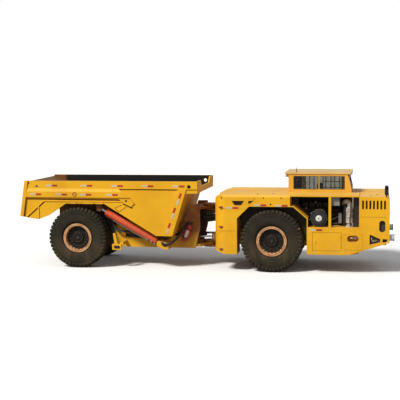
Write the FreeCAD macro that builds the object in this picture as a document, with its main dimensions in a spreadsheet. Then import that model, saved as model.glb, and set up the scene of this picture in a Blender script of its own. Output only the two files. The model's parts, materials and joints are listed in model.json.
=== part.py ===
import FreeCAD, Part
import math
import os
import re
import Sketcher

# Underground mining truck: an articulated low-profile dump truck on four wheels.
# Millimetres.  +X is forwards, +Y is the left side, +Z is up.  The origin lies on the
# ground, midway along the truck and across it.
# Along the truck, the rear half is measured from the rear axle and the front half from
# the front axle, except for what swings at the hinge, which is measured from the hinge.

SIZES = {
    # The whole truck
    "wheelbase": 4820,
    "tail_overhang": 1480,
    "nose_overhang": 2850,
    "hinge_from_rear_axle": 3130,
    "running_gap": 6,
    "pin_gap": 0.3,
    # Wheels
    "tyre_radius": 746.5,
    "tyre_half_width": 215,
    "tread_half_width": 185,
    "shoulder_drop": 42,
    "bead_radius": 318,
    "bead_half_width": 178,
    "wheel_centre_y": 885,
    "flange_radius": 368,
    "flange_thick": 18,
    "rim_wall": 16,
    "disc_inset": 70,
    "disc_thick": 24,
    "hub_radius": 262,
    "hub_bore_radius": 85,
    "hub_face": 96,
    "hub_cap_radius": 150,
    "hub_cap_face": 128,
    "hub_cap_bevel": 25,
    "axle_radius": 118,
    "spindle_reach": 120,
    "diff_radius": 205,
    "diff_half_width": 170,
    "groove_inner": 35,
    "groove_drop": 34,
    "groove_wide": 74,
    "hub_back": 180,
    "drum_radius": 235,
    "axle_pad_half": 110,
    "diff_taper": 60,
    "bead_lip": 4,
    "tread_crown": 40,
    # Rear frame, from the rear axle
    "frame_half_width": 550,
    "frame_plate": 50,
    "frame_low": 470,
    "frame_top": 770,
    "frame_over_axle": 960,
    "frame_axle_half": 300,
    "frame_axle_front": 560,
    "frame_neck_rear": 2500,
    "frame_neck_top_rear": 2745,
    "frame_neck_front": 2990,
    "frame_neck_top": 1550,
    "frame_neck_mid": 950,
    "frame_slope_rear": 700,
    "frame_slope_front": 1850,
    "cross_rear": 420,
    "cross_rear_up": 1050,
    "cross_mid": 1000,
    "cross_front": 2000,
    "cross_up": 600,
    "frame_chin": 2870,
    "cross_radius": 90,
    "tail_pivot_back": 600,
    "tail_pivot_up": 1120,
    "tail_pivot_boss": 105,
    "tail_pivot_pin": 45,
    "frame_tail_round": 40,
    "bore_overrun": 1,
    # Hinge between the halves
    "hinge_pin_radius": 50,
    "hinge_ear_radius": 150,
    "hinge_ear_thick": 60,
    "tractor_ear_thick": 50,
    "lower_hinge_up": 530,
    "upper_hinge_up": 1450,
    # Steering cylinders, from the hinge
    "steer_eye_ahead": 170,
    "steer_eye_side": 330,
    "steer_base_back": 900,
    "steer_base_side": 300,
    "steer_up": 740,
    "steer_barrel_radius": 52,
    "steer_bore_radius": 42,
    "steer_rod_radius": 28,
    "steer_barrel_length": 690,
    "steer_retract": 222,
    "steer_lug_round": 45,
    "steer_eye_radius": 50,
    "steer_eye_half": 30,
    "steer_pin_radius": 20,
    "steer_lug_thick": 25,
    # Hoist cylinders, from the rear axle
    "hoist_base_ahead": 2050,
    "hoist_base_up": 620,
    "hoist_eye_ahead": 522,
    "hoist_eye_up": 1474,
    "hoist_side": 860,
    "hoist_barrel_radius": 85,
    "hoist_bore_radius": 66,
    "hoist_rod_radius": 45,
    "hoist_barrel_length": 1560,
    "hoist_retract": 0,
    "pipe_radius": 12,
    "pipe_offset": 92,
    "pipe_inset": 90,
    "hoist_eye_radius": 75,
    "hoist_eye_half": 45,
    "hoist_pin_radius": 30,
    "hoist_lug_thick": 30,
    "hoist_lug_reach": 65,
    "hoist_lug_round": 30,
    "pin_head": 12,
    "pin_head_spread": 10,
    "hoist_beam_gap": 110,
    "hoist_beam_deep": 120,
    "hoist_beam_low": 480,
    "hoist_beam_top": 620,
    "barrel_foot": 30,
    "gland_length": 60,
    "piston_length": 45,
    "neck_overlap": 5,
    "hoist_foot_start": 45,
    "steer_foot_start": 30,
    "hoist_neck_radius": 36,
    "steer_neck_radius": 24,
    # Side brackets and extinguisher
    "bracket_side": 960,
    "bracket_thick": 40,
    "bracket_back": 865,
    "bracket_long": 235,
    "bracket_low": 454,
    "bracket_high": 150,
    "bracket_arm_top": 867,
    "bracket_slot_edge": 40,
    "bracket_slot_half": 32,
    "bracket_slot_round": 31,
    "bracket_tube_radius": 45,
    "bracket_corner": 20,
    "bracket_arm_round": 15,
    "bracket_arm_back": 24,
    "bracket_arm_root": 59,
    "bracket_arm_front": 82,
    "bracket_arm_foot": 141,
    "bottle_radius": 62,
    "bottle_length": 440,
    "bottle_neck": 55,
    "bottle_ahead": 2600,
    "bottle_low": 640,
    "saddle_thick": 12,
    "bottle_neck_radius": 25,
    "saddle_over": 40,
    "saddle_end": 120,
    # Dump box, from the rear axle
    "box_half_width": 1050,
    "box_wall": 25,
    "box_floor": 25,
    "box_top": 2160,
    "tail_top_back": 1342,
    "tail_low_up": 1270,
    "skirt_rear_back": 1350,
    "skirt_rear_up": 1244,
    "skirt_low_back": 1019,
    "skirt_low_up": 1193,
    "skirt_front_back": 732,
    "skirt_front_up": 1297,
    "arch_rear_back": 294,
    "arch_up": 1595,
    "arch_front": 697,
    "belly_rear": 1996,
    "belly_up": 825,
    "belly_front": 2405,
    "knee_front": 2730,
    "knee_up": 1862,
    "headboard_front": 3035,
    "headboard_low": 1870,
    "headboard_notch": 150,
    "notch_half_width": 620,
    "scow_start_back": 350,
    "scow_top_drop": 60,
    "rail_proud": 25,
    "rail_drop": 191,
    "band_proud": 50,
    "band_top_drop": 266,
    "band_low_drop": 406,
    "band_front": 1358,
    "band_slant": 285,
    "rail_hole_ahead": 2832,
    "rail_hole_drop": 130,
    "rail_hole_radius": 45,
    "beam_y": 380,
    "beam_wide": 80,
    "beam_front": 1150,
    "beam_low": 1320,
    "beam_tail_up": 1560,
    "beam_round": 40,
    "beam_tail_round": 60,
    "front_overlap": 15,
    "post_wide": 200,
    "crease_proud": 12,
    "crease_wide": 26,
    "crease_foot_share": 1.4,
    "crease_turn_share": 0.4,
    "crease_back": 1330,
    "crease_low": 1262,
    "crease_turn": 874,
    "crease_up": 1642,
    "skirt_rib_back": 1020,
    "skirt_rib_wide": 30,
    "skirt_rib_low": 1205,
    "skirt_rib_top": 1512,
    "tail_post_wide": 85,
    "gusset_back": 1040,
    "gusset_ahead": 1457,
    "gusset_up": 1600,
    "gusset_foot": 1380,
    "gusset_foot_up": 1530,
    "gusset_foot_back": 1190,
    "gusset_foot_back_up": 1620,
    "gusset_pin_ahead": 1270,
    "gusset_pin_up": 1677,
    "gusset_pin_radius": 20,
    # Tractor shell, from the front axle unless it swings past the box
    "shell_half_width": 1090,
    "shell_skin": 30,
    "fender_behind_hinge": 300,
    "fender_inner": 620,
    "fender_rear_up": 506,
    "fender_low": 425,
    "fender_low_back": 1150,
    "fender_corner": 300,
    "fender_top_round": 170,
    "fender_foot_round": 40,
    "moon_back": 951,
    "moon_front": 651,
    "moon_low": 1595,
    "moon_high": 1708,
    "moon_foot_back": 880,
    "moon_foot_front": 722,
    "moon_round": 50,
    "corner_hole_back": 549,
    "corner_hole_front": 415,
    "corner_hole_low": 1630,
    "fender_hole_deep": 90,
    "arch_back": 826,
    "arch_back_up": 1288,
    "arch_top_back": 534,
    "arch_top_up": 1574,
    "arch_top_ahead": 515,
    "arch_ahead": 834,
    "arch_ahead_up": 1299,
    "shell_top": 1850,
    "bulkhead_ahead_of_hinge": 370,
    "bulkhead_thick": 50,
    "bulkhead_top": 1780,
    "ear_root": 230,
    "shell_edge_round": 60,
    "arch_plate": 20,
    "nose_round": 120,
    "louvre_count": 7,
    "louvre_back": 2110,
    "louvre_pitch": 83,
    "louvre_wide": 42,
    "louvre_low": 1543,
    "louvre_high": 1743,
    "louvre_round": 8,
    "tall_oval_back": 2503,
    "tall_oval_front": 2643,
    "tall_oval_low": 1010,
    "tall_oval_high": 1280,
    "tall_oval_round": 69,
    "flat_oval_back": 1772,
    "flat_oval_front": 2032,
    "flat_oval_low": 766,
    "flat_oval_high": 923,
    "flat_oval_round": 77,
    "oval_deep": 150,
    "tow_back": 2287,
    "tow_front": 2530,
    "tow_back_low": 712,
    "tow_back_high": 955,
    "tow_front_low": 772,
    "tow_front_high": 852,
    "tow_round": 12,
    "step_back": 2580,
    "step_front": 2690,
    "step_low": 772,
    "step_high": 850,
    "panel_back": 1705,
    "panel_front": 2128,
    "panel_low": 580,
    "panel_high": 982,
    "panel_proud": 5,
    "bumper_side": 900,
    "grille_top": 1700,
    "grille_border": 60,
    "grille_half_width": 700,
    "grille_bars": 6,
    "grille_bar_tall": 22,
    "grille_posts": 3,
    "grille_post_wide": 26,
    "bumper_top": 960,
    "lamp_radius": 75,
    "lamp_side": 930,
    "lamp_up": 870,
    "work_lamp_radius": 40,
    "work_lamp_long": 55,
    "work_lamp_drop": 40,
    "work_lamp_inset": 110,
    "work_lamp_back": 240,
    "work_lamp_front": 1776,
    "chassis_cross": 700,
    "shaft_radius": 40,
    "hinge_shaft_gap": 70,
    "bay_rear": 440,
    "bay_front": 2043,
    "bay_floor": 1100,
    "skirt_low": 457,
    "skirt_turn": 1791,
    "nose_face": 2740,
    "nose_low": 761,
    "nose_top": 1830,
    "deck_thick": 30,
    "chassis_half_width": 400,
    "chassis_plate": 50,
    "chassis_low": 560,
    "chassis_top": 1060,
    "chassis_front_top": 790,
    "chassis_rise": 200,
    "chassis_fall": 260,
    "chassis_axle_low": 900,
    "chassis_axle_half": 260,
    # Locker below the engine bay
    "locker_door_back": 965,
    "locker_door_front": 1638,
    "locker_door_low": 548,
    "locker_door_top": 986,
    "locker_depth": 420,
    "locker_knuckle_radius": 9,
    "locker_hinge_inset": 70,
    "locker_front": 2043,
    "locker_rise": 40,
    "locker_corner": 15,
    "door_edge_gap": 6,
    # Engine and what stands beside it
    "engine_back": 560,
    "engine_front": 1860,
    "engine_top": 1640,
    "engine_locker_gap": 50,
    "engine_cab_gap": 30,
    "cleaner_ahead": 1110,
    "cleaner_up": 1310,
    "cleaner_radius": 200,
    "cleaner_cap_radius": 150,
    "cleaner_cap_out": 30,
    "cleaner_out": 1010,
    "cleaner_in": 780,
    "cradle_half": 111,
    "cradle_inset": 60,
    "post_back": 1340,
    "post_front": 1400,
    "exhaust_ahead": 1820,
    "exhaust_radius": 62,
    "exhaust_out": 960,
    "exhaust_top": 1540,
    "elbow_radius": 42,
    "elbow_bend": 75,
    "elbow_up": 1640,
    "flange_out": 90,
    "flange_tall": 22,
    "control_box_back": 1400,
    "control_box_front": 1590,
    "control_box_low": 1610,
    "control_box_out": 1000,
    "radiator_back": 2240,
    "radiator_thick": 160,
    "radiator_half_width": 700,
    "radiator_low": 960,
    "radiator_top": 1700,
    # Cab, from the front axle
    "cab_right": 220,
    "cab_low_right": 110,
    "cab_shelf": 1770,
    "cab_left_inset": 10,
    "cab_skin": 45,
    "cab_back": 320,
    "cab_front": 1840,
    "cab_front_top": 1750,
    "cab_floor": 796,
    "battery_rise": 20,
    "cab_step": 1640,
    "cab_sill": 1920,
    "cab_top": 2290,
    "cab_foot_back": 865,
    "roof_thick": 40,
    "roof_overhang": 90,
    "window_low": 1930,
    "window_high": 2235,
    "window_round": 30,
    "window_rear_back": 450,
    "window_rear_front": 1040,
    "window_front_back": 1080,
    "window_front_front": 1670,
    "glass_thick": 8,
    "screen_inset": 20,
    "door_back": 900,
    "door_front": 1620,
    "door_low": 830,
    "door_high": 2260,
    "door_cut_up": 1420,
    "door_cut_back": 560,
    "door_window_low": 1500,
    "door_knee_up": 1290,
    "door_frame": 70,
    "door_corner": 40,
    "door_knee_round": 20,
    "door_glass_round": 25,
    "roof_corner": 40,
    "roof_side": 20,
    "screen_rise": 20,
    "screen_border": 90,
    "cab_knee_back": 560,
    "cab_foot_knee": 1320,
    "knee_share": 0.41,
    "cab_knuckle_radius": 14,
    "cab_hinge_inset": 150,
    "knuckle_tall": 40,
    "knuckle_gap": 1,
    # Seat and controls
    "seat_ahead": 1200,
    "seat_side": 620,
    "seat_up": 1330,
    "seat_wide": 480,
    "seat_deep": 460,
    "seat_thick": 130,
    "seat_back_high": 560,
    "seat_pillar": 110,
    "console_back": 1500,
    "console_front": 1640,
    "console_half": 130,
    "console_top": 1500,
    "wheel_ring": 170,
    "wheel_rim": 14,
    "wheel_up": 1590,
    "column_radius": 26,
    # Mirror and antenna
    "mirror_ahead": 2555,
    "mirror_side": 1080,
    "mirror_low": 1870,
    "mirror_high": 2150,
    "mirror_long": 90,
    "mirror_wide": 150,
    "mirror_stalk": 12,
    "stalk_overlap": 10,
    "antenna_radius": 6,
    "antenna_ahead": 500,
    "antenna_side": 0,
    "antenna_high": 110,
}

doc = FreeCAD.newDocument("MiningTruck")
sheet = doc.addObject("Spreadsheet::Sheet", "Sizes")
for row, (alias, size) in enumerate(SIZES.items(), start=1):
    sheet.set(f"A{row}", alias)
    sheet.set(f"B{row}", str(size))
    sheet.setAlias(f"B{row}", alias)
doc.recompute()

# Stations along the truck
REAR_AXLE = "0.5 * (tail_overhang - wheelbase - nose_overhang)"
FRONT_AXLE = f"({REAR_AXLE} + wheelbase)"
HINGE = f"({REAR_AXLE} + hinge_from_rear_axle)"

# Faces that are set off from another size
RAIL_OUT = "(box_half_width + rail_proud)"
BAND_OUT = "(box_half_width + band_proud)"
CAB_LEFT = "(shell_half_width - cab_left_inset)"
ENGINE_OUT = "(shell_half_width - shell_skin - locker_depth - engine_locker_gap)"

SIDES = {"right": -1, "left": 1}
BOTTLE_LEAN = 22
TYRE_LUGS = 14
PLANES = {"XZ": ("XZ_Plane", -1), "XY": ("XY_Plane", 1), "YZ": ("YZ_Plane", 1)}
nodes = {}
cuts = []


def bound(text):
    """An expression whose words are read from the sheet."""
    return re.sub(r"[a-z]\w*", lambda word: named(word.group()), str(text))


def named(word):
    return f"Sizes.{word}" if word in SIZES else word


def value(text):
    """The number that an expression stands for."""
    result = sheet.evalExpression(bound(text))
    return float(getattr(result, "Value", result))


def rear(text):
    """A station measured forwards from the rear axle."""
    return f"{REAR_AXLE} + {text}"


def front(text):
    """A station measured forwards from the front axle."""
    return f"{FRONT_AXLE} + {text}"


def hinge(text):
    """A station measured forwards from the hinge."""
    return f"{HINGE} + {text}"


def keep(label, item):
    """Names an object as a sub-part that is written out."""
    item.Label = label
    nodes[label] = item
    return item


def new_body(label):
    body = doc.addObject("PartDesign::Body", label)
    body.AllowCompound = True
    return body


def new_sketch(body, plane, station):
    """A sketch on one of the body's own origin planes, moved out to a station."""
    role, sense = PLANES[plane]
    sketch = body.newObject("Sketcher::SketchObject", "Sketch")
    origin_plane = next(item for item in body.Origin.OriginFeatures if item.Role == role)
    sketch.AttachmentSupport = [(origin_plane, "")]
    sketch.MapMode = "FlatFace"
    sketch.setExpression("AttachmentOffset.Base.z", bound(f"{sense} * ({station})"))
    return sketch


def pin_down(sketch, element, point, across, up):
    """Holds one point of a sketch at two expressions."""
    for kind, text in (("DistanceX", across), ("DistanceY", up)):
        index = sketch.addConstraint(Sketcher.Constraint(kind, -1, 1, element, point, value(text)))
        sketch.setExpression(f"Constraints[{index}]", bound(text))


def draw_outline(sketch, points):
    """A closed outline of straight sides.  A point is (across, up) or (across, up, radius)."""
    places = [FreeCAD.Vector(value(point[0]), value(point[1]), 0) for point in points]
    count = len(points)
    starts = list(places)
    ends = list(places)
    arcs = {}
    for index, point in enumerate(points):
        if len(point) < 3:
            continue
        radius = value(point[2])
        back = (places[index - 1] - places[index]).normalize()
        ahead = (places[(index + 1) % count] - places[index]).normalize()
        half_turn = back.getAngle(ahead) / 2
        reach = radius / math.tan(half_turn)
        middle = (back + ahead).normalize()
        centre = places[index] + middle * (radius / math.sin(half_turn))
        ends[index] = places[index] + back * reach
        starts[index] = places[index] + ahead * reach
        arcs[index] = (centre, radius, ends[index], starts[index])
    sides = []
    for index in range(count):
        line = Part.LineSegment(starts[index], ends[(index + 1) % count])
        sides.append(sketch.addGeometry(line, False))
    for index in range(count):
        before, after = sides[index - 1], sides[index]
        across, up = points[index][0], points[index][1]
        if index not in arcs:
            sketch.addConstraint(Sketcher.Constraint("Coincident", before, 2, after, 1))
            pin_down(sketch, after, 1, across, up)
            continue
        centre, radius, arrive, leave = arcs[index]
        corner = sketch.addGeometry(Part.Point(places[index]), True)
        pin_down(sketch, corner, 1, across, up)
        sketch.addConstraint(Sketcher.Constraint("PointOnObject", corner, 1, before))
        sketch.addConstraint(Sketcher.Constraint("PointOnObject", corner, 1, after))
        angle_in = math.atan2(arrive.y - centre.y, arrive.x - centre.x)
        angle_out = math.atan2(leave.y - centre.y, leave.x - centre.x)
        turns_left = (angle_out - angle_in) % (2 * math.pi) < math.pi
        circle = Part.Circle(centre, FreeCAD.Vector(0, 0, 1), radius)
        first, last = (angle_in, angle_out) if turns_left else (angle_out, angle_in)
        arc = sketch.addGeometry(Part.ArcOfCircle(circle, first, last), False)
        arc_in, arc_out = (1, 2) if turns_left else (2, 1)
        sketch.addConstraint(Sketcher.Constraint("Tangent", before, 2, arc, arc_in))
        sketch.addConstraint(Sketcher.Constraint("Tangent", arc, arc_out, after, 1))
        rounding = sketch.addConstraint(Sketcher.Constraint("Radius", arc, radius))
        sketch.setExpression(f"Constraints[{rounding}]", bound(points[index][2]))


def draw_circle(sketch, across, up, radius):
    centre = FreeCAD.Vector(value(across), value(up), 0)
    circle = Part.Circle(centre, FreeCAD.Vector(0, 0, 1), value(radius))
    index = sketch.addGeometry(circle, False)
    pin_down(sketch, index, 3, across, up)
    sizing = sketch.addConstraint(Sketcher.Constraint("Radius", index, value(radius)))
    sketch.setExpression(f"Constraints[{sizing}]", bound(radius))


def extrude(body, plane, low, high, outlines, circles=(), cut=False):
    """Pads, or pockets, closed outlines and circles from one station to a higher one."""
    sketch = new_sketch(body, plane, high if plane == "XZ" else low)
    for points in outlines:
        draw_outline(sketch, points)
    for circle in circles:
        draw_circle(sketch, *circle)
    kind = "PartDesign::Pocket" if cut else "PartDesign::Pad"
    feature = body.newObject(kind, "Pocket" if cut else "Pad")
    feature.Profile = sketch
    feature.setExpression("Length", bound(f"({high}) - ({low})"))
    if cut:
        feature.Reversed = True
        cuts.append(feature)
    return feature


def turned(body, plane, across, up, station, points):
    """A solid of revolution about the sketch's horizontal line through (across, up)."""
    sketch = new_sketch(body, plane, station)
    sketch.setExpression("AttachmentOffset.Base.x", bound(across))
    sketch.setExpression("AttachmentOffset.Base.y", bound(up))
    draw_outline(sketch, points)
    feature = body.newObject("PartDesign::Revolution", "Revolution")
    feature.Profile = sketch
    feature.ReferenceAxis = (sketch, ["H_Axis"])
    return feature


def place(item, x="0", y="0", z="0"):
    """Binds an object's position to expressions."""
    for axis, text in zip("xyz", (x, y, z)):
        item.setExpression(f"Placement.Base.{axis}", bound(text))
    return item


def block(x_low, x_high, y_low, y_high, z_low, z_high):
    box = doc.addObject("Part::Box", "Block")
    box.setExpression("Length", bound(f"({x_high}) - ({x_low})"))
    box.setExpression("Width", bound(f"({y_high}) - ({y_low})"))
    box.setExpression("Height", bound(f"({z_high}) - ({z_low})"))
    return place(box, x_low, y_low, z_low)


TURNS = {
    "X": FreeCAD.Rotation(FreeCAD.Vector(0, 1, 0), 90),
    "Y": FreeCAD.Rotation(FreeCAD.Vector(1, 0, 0), -90),
    "Z": FreeCAD.Rotation(),
}


def rod(axis, radius, length, x="0", y="0", z="0"):
    """A round bar that runs along an axis from its start."""
    bar = doc.addObject("Part::Cylinder", "Rod")
    bar.Placement = FreeCAD.Placement(FreeCAD.Vector(), TURNS[axis])
    bar.setExpression("Radius", bound(radius))
    bar.setExpression("Height", bound(length))
    return place(bar, x, y, z)


def cross_rod(radius, half, x, y, z):
    """A round bar across the truck, centred on y."""
    return rod("Y", radius, f"2 * ({half})", x, f"({y}) - ({half})", z)


def fused(*items):
    fuse = doc.addObject("Part::MultiFuse", "Fused")
    fuse.Shapes = list(items)
    return fuse


def less(base, *tools):
    """The base with each tool taken out of it."""
    for tool in tools:
        result = doc.addObject("Part::Cut", "Less")
        result.Base = base
        result.Tool = tool
        base = result
    return base


def mirrored(item):
    """The same piece on the other side of the truck."""
    twin = doc.addObject("Part::Mirroring", "Twin")
    twin.Source = item
    twin.Normal = FreeCAD.Vector(0, 1, 0)
    return twin


def grouped(*items):
    """Pieces that share a node and don't touch."""
    group = doc.addObject("Part::Compound", "Group")
    group.Links = list(items)
    return group


def common(*items):
    """What all of the items share."""
    share = doc.addObject("Part::MultiCommon", "Share")
    share.Shapes = list(items)
    return share


# ---------------------------------------------------------------- wheels and axles
def bead_pocket(start):
    """A many-sided pocket in the tyre's side, which clears the rim's flange."""
    pocket = doc.addObject("Part::Prism", "BeadPocket")
    pocket.Polygon = 2 * TYRE_LUGS
    half_side = FreeCAD.Rotation(FreeCAD.Vector(0, 0, 1), 90 / TYRE_LUGS)
    pocket.Placement = FreeCAD.Placement(FreeCAD.Vector(), TURNS["Y"] * half_side)
    pocket.setExpression("Circumradius", bound(
        f"(flange_radius + bead_lip) / cos(180deg / {2 * TYRE_LUGS})"))
    pocket.setExpression("Height", bound("tyre_half_width - bead_half_width + bore_overrun"))
    return place(pocket, y=start)


def make_tyre():
    """A tyre about its own centre, flat-sided so that it stays light, with staggered lugs."""
    tread = "(tread_half_width - tread_crown)"
    shoulder = "(tyre_radius - shoulder_drop)"
    corner = [
        (tread, "tyre_radius"),
        ("tyre_half_width", shoulder),
        ("tyre_half_width", f"-{shoulder}"),
        (tread, "-tyre_radius"),
    ]
    far_side = [(f"-{side}", up) for side, up in reversed(corner)]
    slab = new_body("TyreSlab")
    extrude(slab, "YZ", "-2 * tyre_radius", "2 * tyre_radius", [corner + far_side])
    slabs = []
    for index in range(TYRE_LUGS):
        crossed = grouped(slab)
        crossed.Placement = FreeCAD.Placement(
            FreeCAD.Vector(), FreeCAD.Rotation(FreeCAD.Vector(0, 1, 0), 180 / TYRE_LUGS * index))
        slabs.append(crossed)
    solid = common(*slabs)
    pockets = grouped(bead_pocket("bead_half_width"), bead_pocket("-tyre_half_width - bore_overrun"))
    hole = rod("Y", "bead_radius", "2 * (bead_half_width + bore_overrun)", "0",
               "-bead_half_width - bore_overrun")
    grooves = []
    low = "(tyre_radius - groove_drop)"
    for index in range(2 * TYRE_LUGS):
        turn = 180 / TYRE_LUGS * index
        outer = index % 2 == 0
        groove = doc.addObject("Part::Box", "Groove")
        groove.setExpression("Length", bound("groove_wide"))
        groove.setExpression("Width", bound("tyre_half_width"))
        groove.setExpression("Height", bound("2 * groove_drop"))
        groove.Placement = FreeCAD.Placement(
            FreeCAD.Vector(), FreeCAD.Rotation(FreeCAD.Vector(0, 1, 0), turn))
        along, out = f"cos({turn}deg)", f"sin({turn}deg)"
        place(groove, f"{low} * {out} - 0.5 * groove_wide * {along}",
              "groove_inner" if outer else "-groove_inner - tyre_half_width",
              f"{low} * {along} + 0.5 * groove_wide * {out}")
        grooves.append(groove)
    return less(solid, hole, pockets, grouped(*grooves))


def make_rim():
    """The rim, its disc and its hub, with the hub's bore for the spindle, about their centre."""
    body = new_body("Rim")
    seat = "bead_radius - rim_wall"
    edge = "bead_half_width + flange_thick"
    disc_out = "bead_half_width - disc_inset"
    disc_in = f"{disc_out} - disc_thick"
    points = [
        (f"-({edge})", seat),
        (disc_in, seat),
        (disc_in, "drum_radius"),
        ("-hub_back", "drum_radius"),
        ("-hub_back", "hub_bore_radius"),
        ("spindle_reach - hub_back", "hub_bore_radius"),
        ("spindle_reach - hub_back", "0"),
        ("hub_cap_face", "0"),
        ("hub_cap_face", "hub_cap_radius - hub_cap_bevel"),
        ("hub_cap_face - hub_cap_bevel", "hub_cap_radius"),
        ("hub_face", "hub_cap_radius"),
        ("hub_face", "hub_radius"),
        (disc_out, "hub_radius"),
        (disc_out, seat),
        (edge, seat),
        (edge, "flange_radius"),
        ("bead_half_width", "flange_radius"),
        ("bead_half_width", "bead_radius"),
        ("-bead_half_width", "bead_radius"),
        ("-bead_half_width", "flange_radius"),
        (f"-({edge})", "flange_radius"),
    ]
    turned(body, "YZ", "0", "0", "0", points)
    return body


def make_wheels():
    """The tyre and rim of each wheel; the right ones are the left ones turned over."""
    tyre = make_tyre()
    rim = make_rim()
    for end, axle in (("rear", REAR_AXLE), ("front", FRONT_AXLE)):
        for kind, wheel in (("tyre", tyre), ("rim", rim)):
            left = place(grouped(wheel), axle, "wheel_centre_y", "tyre_radius")
            keep(f"{kind}_{end}_left", left)
            keep(f"{kind}_{end}_right", mirrored(left))


def make_axle(label, axle, pad_inner, pad_outer, pad_top):
    """A beam axle with its differential, its spindles and the pads that it hangs from."""
    body = new_body(label)
    hub_back_y = "wheel_centre_y - hub_back"
    beam_end = f"{hub_back_y} - running_gap"
    spindle_end = f"{beam_end} + spindle_reach - running_gap"
    spindle = "hub_bore_radius - pin_gap"
    half = [
        (spindle_end, "0"),
        (spindle_end, spindle),
        (beam_end, spindle),
        (beam_end, "axle_radius"),
        ("diff_half_width + diff_taper", "axle_radius"),
        ("diff_half_width", "diff_radius"),
    ]
    other = [(f"-({point[0]})", point[1]) for point in reversed(half)]
    turned(body, "YZ", "0", "tyre_radius", axle, half + other)
    pads = [
        block(f"{axle} - axle_pad_half", f"{axle} + axle_pad_half", low, high, "tyre_radius", pad_top)
        for low, high in ((f"-({pad_outer})", f"-({pad_inner})"), (pad_inner, pad_outer))
    ]
    keep(label, fused(body, *pads))


# ---------------------------------------------------------------- rear frame
def make_rear_frame():
    plates = new_body("RearFramePlates")
    boss_top = "tail_pivot_up + tail_pivot_boss"
    boss_end = rear("-tail_pivot_back - tail_pivot_boss")
    side = [
        (boss_end, "frame_over_axle", "frame_tail_round"),
        (rear("frame_axle_half"), "frame_over_axle"),
        (rear("frame_axle_front"), "frame_low"),
        (rear("frame_chin"), "frame_low"),
        (rear("frame_neck_front"), "frame_neck_mid"),
        (rear("frame_neck_front"), "frame_neck_top"),
        (rear("frame_neck_top_rear"), "frame_neck_top"),
        (rear("frame_neck_rear"), "frame_top"),
        (rear("frame_slope_front"), "frame_top"),
        (rear("frame_slope_rear"), boss_top),
        (boss_end, boss_top, "frame_tail_round"),
    ]
    inner = "frame_half_width - frame_plate"
    extrude(plates, "XZ", inner, "frame_half_width", [side])
    extrude(plates, "XZ", "-frame_half_width", f"-({inner})", [side])
    parts = [plates]
    tubes = (("cross_rear", "cross_rear_up"), ("cross_mid", "cross_up"), ("cross_front", "cross_up"))
    for ahead, up in tubes:
        parts.append(cross_rod("cross_radius", "frame_half_width", rear(ahead), "0", up))
    for up, start in (("lower_hinge_up", "cross_front"), ("upper_hinge_up", "frame_neck_top_rear")):
        low = f"{up} - 0.5 * hinge_ear_thick"
        high = f"{up} + 0.5 * hinge_ear_thick"
        ear = new_body("RearFrameEar")
        web = [
            (rear(start), f"-({inner})"),
            (rear("frame_neck_front"), f"-({inner})"),
            (HINGE, "-hinge_ear_radius"),
            (HINGE, "hinge_ear_radius"),
            (rear("frame_neck_front"), inner),
            (rear(start), inner),
        ]
        extrude(ear, "XY", low, high, [web])
        parts.append(ear)
        parts.append(rod("Z", "hinge_ear_radius", "hinge_ear_thick", HINGE, "0", low))
    parts += hoist_bases()
    parts += steering_bases()
    pivot_pins = [
        rod("Y", "tail_pivot_pin", "frame_half_width - beam_y + beam_wide",
            rear("-tail_pivot_back"), start, "tail_pivot_up")
        for start in ("beam_y - beam_wide", "-frame_half_width")
    ]
    parts += pivot_pins
    frame = fused(*parts)
    bores = [
        rod("Z", "hinge_pin_radius + pin_gap", "hinge_ear_thick + 2 * bore_overrun", HINGE, "0",
            f"{up} - 0.5 * hinge_ear_thick - bore_overrun")
        for up in ("lower_hinge_up", "upper_hinge_up")
    ]
    keep("rear_frame", less(frame, *bores))


def hoist_bases():
    """On each side, a beam, two lugs and a pin that carry the foot of a hoist cylinder."""
    parts = []
    beam_back = rear("hoist_base_ahead + hoist_beam_gap")
    beam_front = rear("hoist_base_ahead + hoist_beam_gap + hoist_beam_deep")
    inner_lug = "hoist_side - hoist_eye_half - running_gap - hoist_lug_thick"
    outer_lug = "hoist_side + hoist_eye_half + running_gap"
    end = f"{outer_lug} + hoist_lug_thick"
    for sense in (-1, 1):
        low, high = ordered(sense, "frame_half_width - frame_plate", end)
        parts.append(block(beam_back, beam_front, low, high, "hoist_beam_low", "hoist_beam_top"))
        lug_back = rear("hoist_base_ahead - hoist_lug_reach")
        lug_ahead = rear("hoist_base_ahead + hoist_lug_reach")
        lug = [
            (lug_back, "hoist_base_up - hoist_lug_reach", "hoist_lug_round"),
            (beam_back, "hoist_beam_low"),
            (beam_front, "hoist_beam_low"),
            (beam_front, "hoist_beam_top"),
            (lug_ahead, "hoist_base_up + hoist_lug_reach", "hoist_lug_round"),
            (lug_back, "hoist_base_up + hoist_lug_reach", "hoist_lug_round"),
        ]
        lugs = new_body("HoistLugs")
        for near in (inner_lug, outer_lug):
            low, high = ordered(sense, near, f"{near} + hoist_lug_thick")
            extrude(lugs, "XZ", low, high, [lug])
        parts.append(lugs)
        low, high = ordered(sense, inner_lug, end)
        parts.append(rod("Y", "hoist_pin_radius", f"({high}) - ({low})", rear("hoist_base_ahead"), low,
                         "hoist_base_up"))
    return parts


def ordered(sense, near, far):
    """Two distances from the middle of the truck as low and high places on one side."""
    if sense > 0:
        return f"({near})", f"({far})"
    return f"-({far})", f"-({near})"


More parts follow.
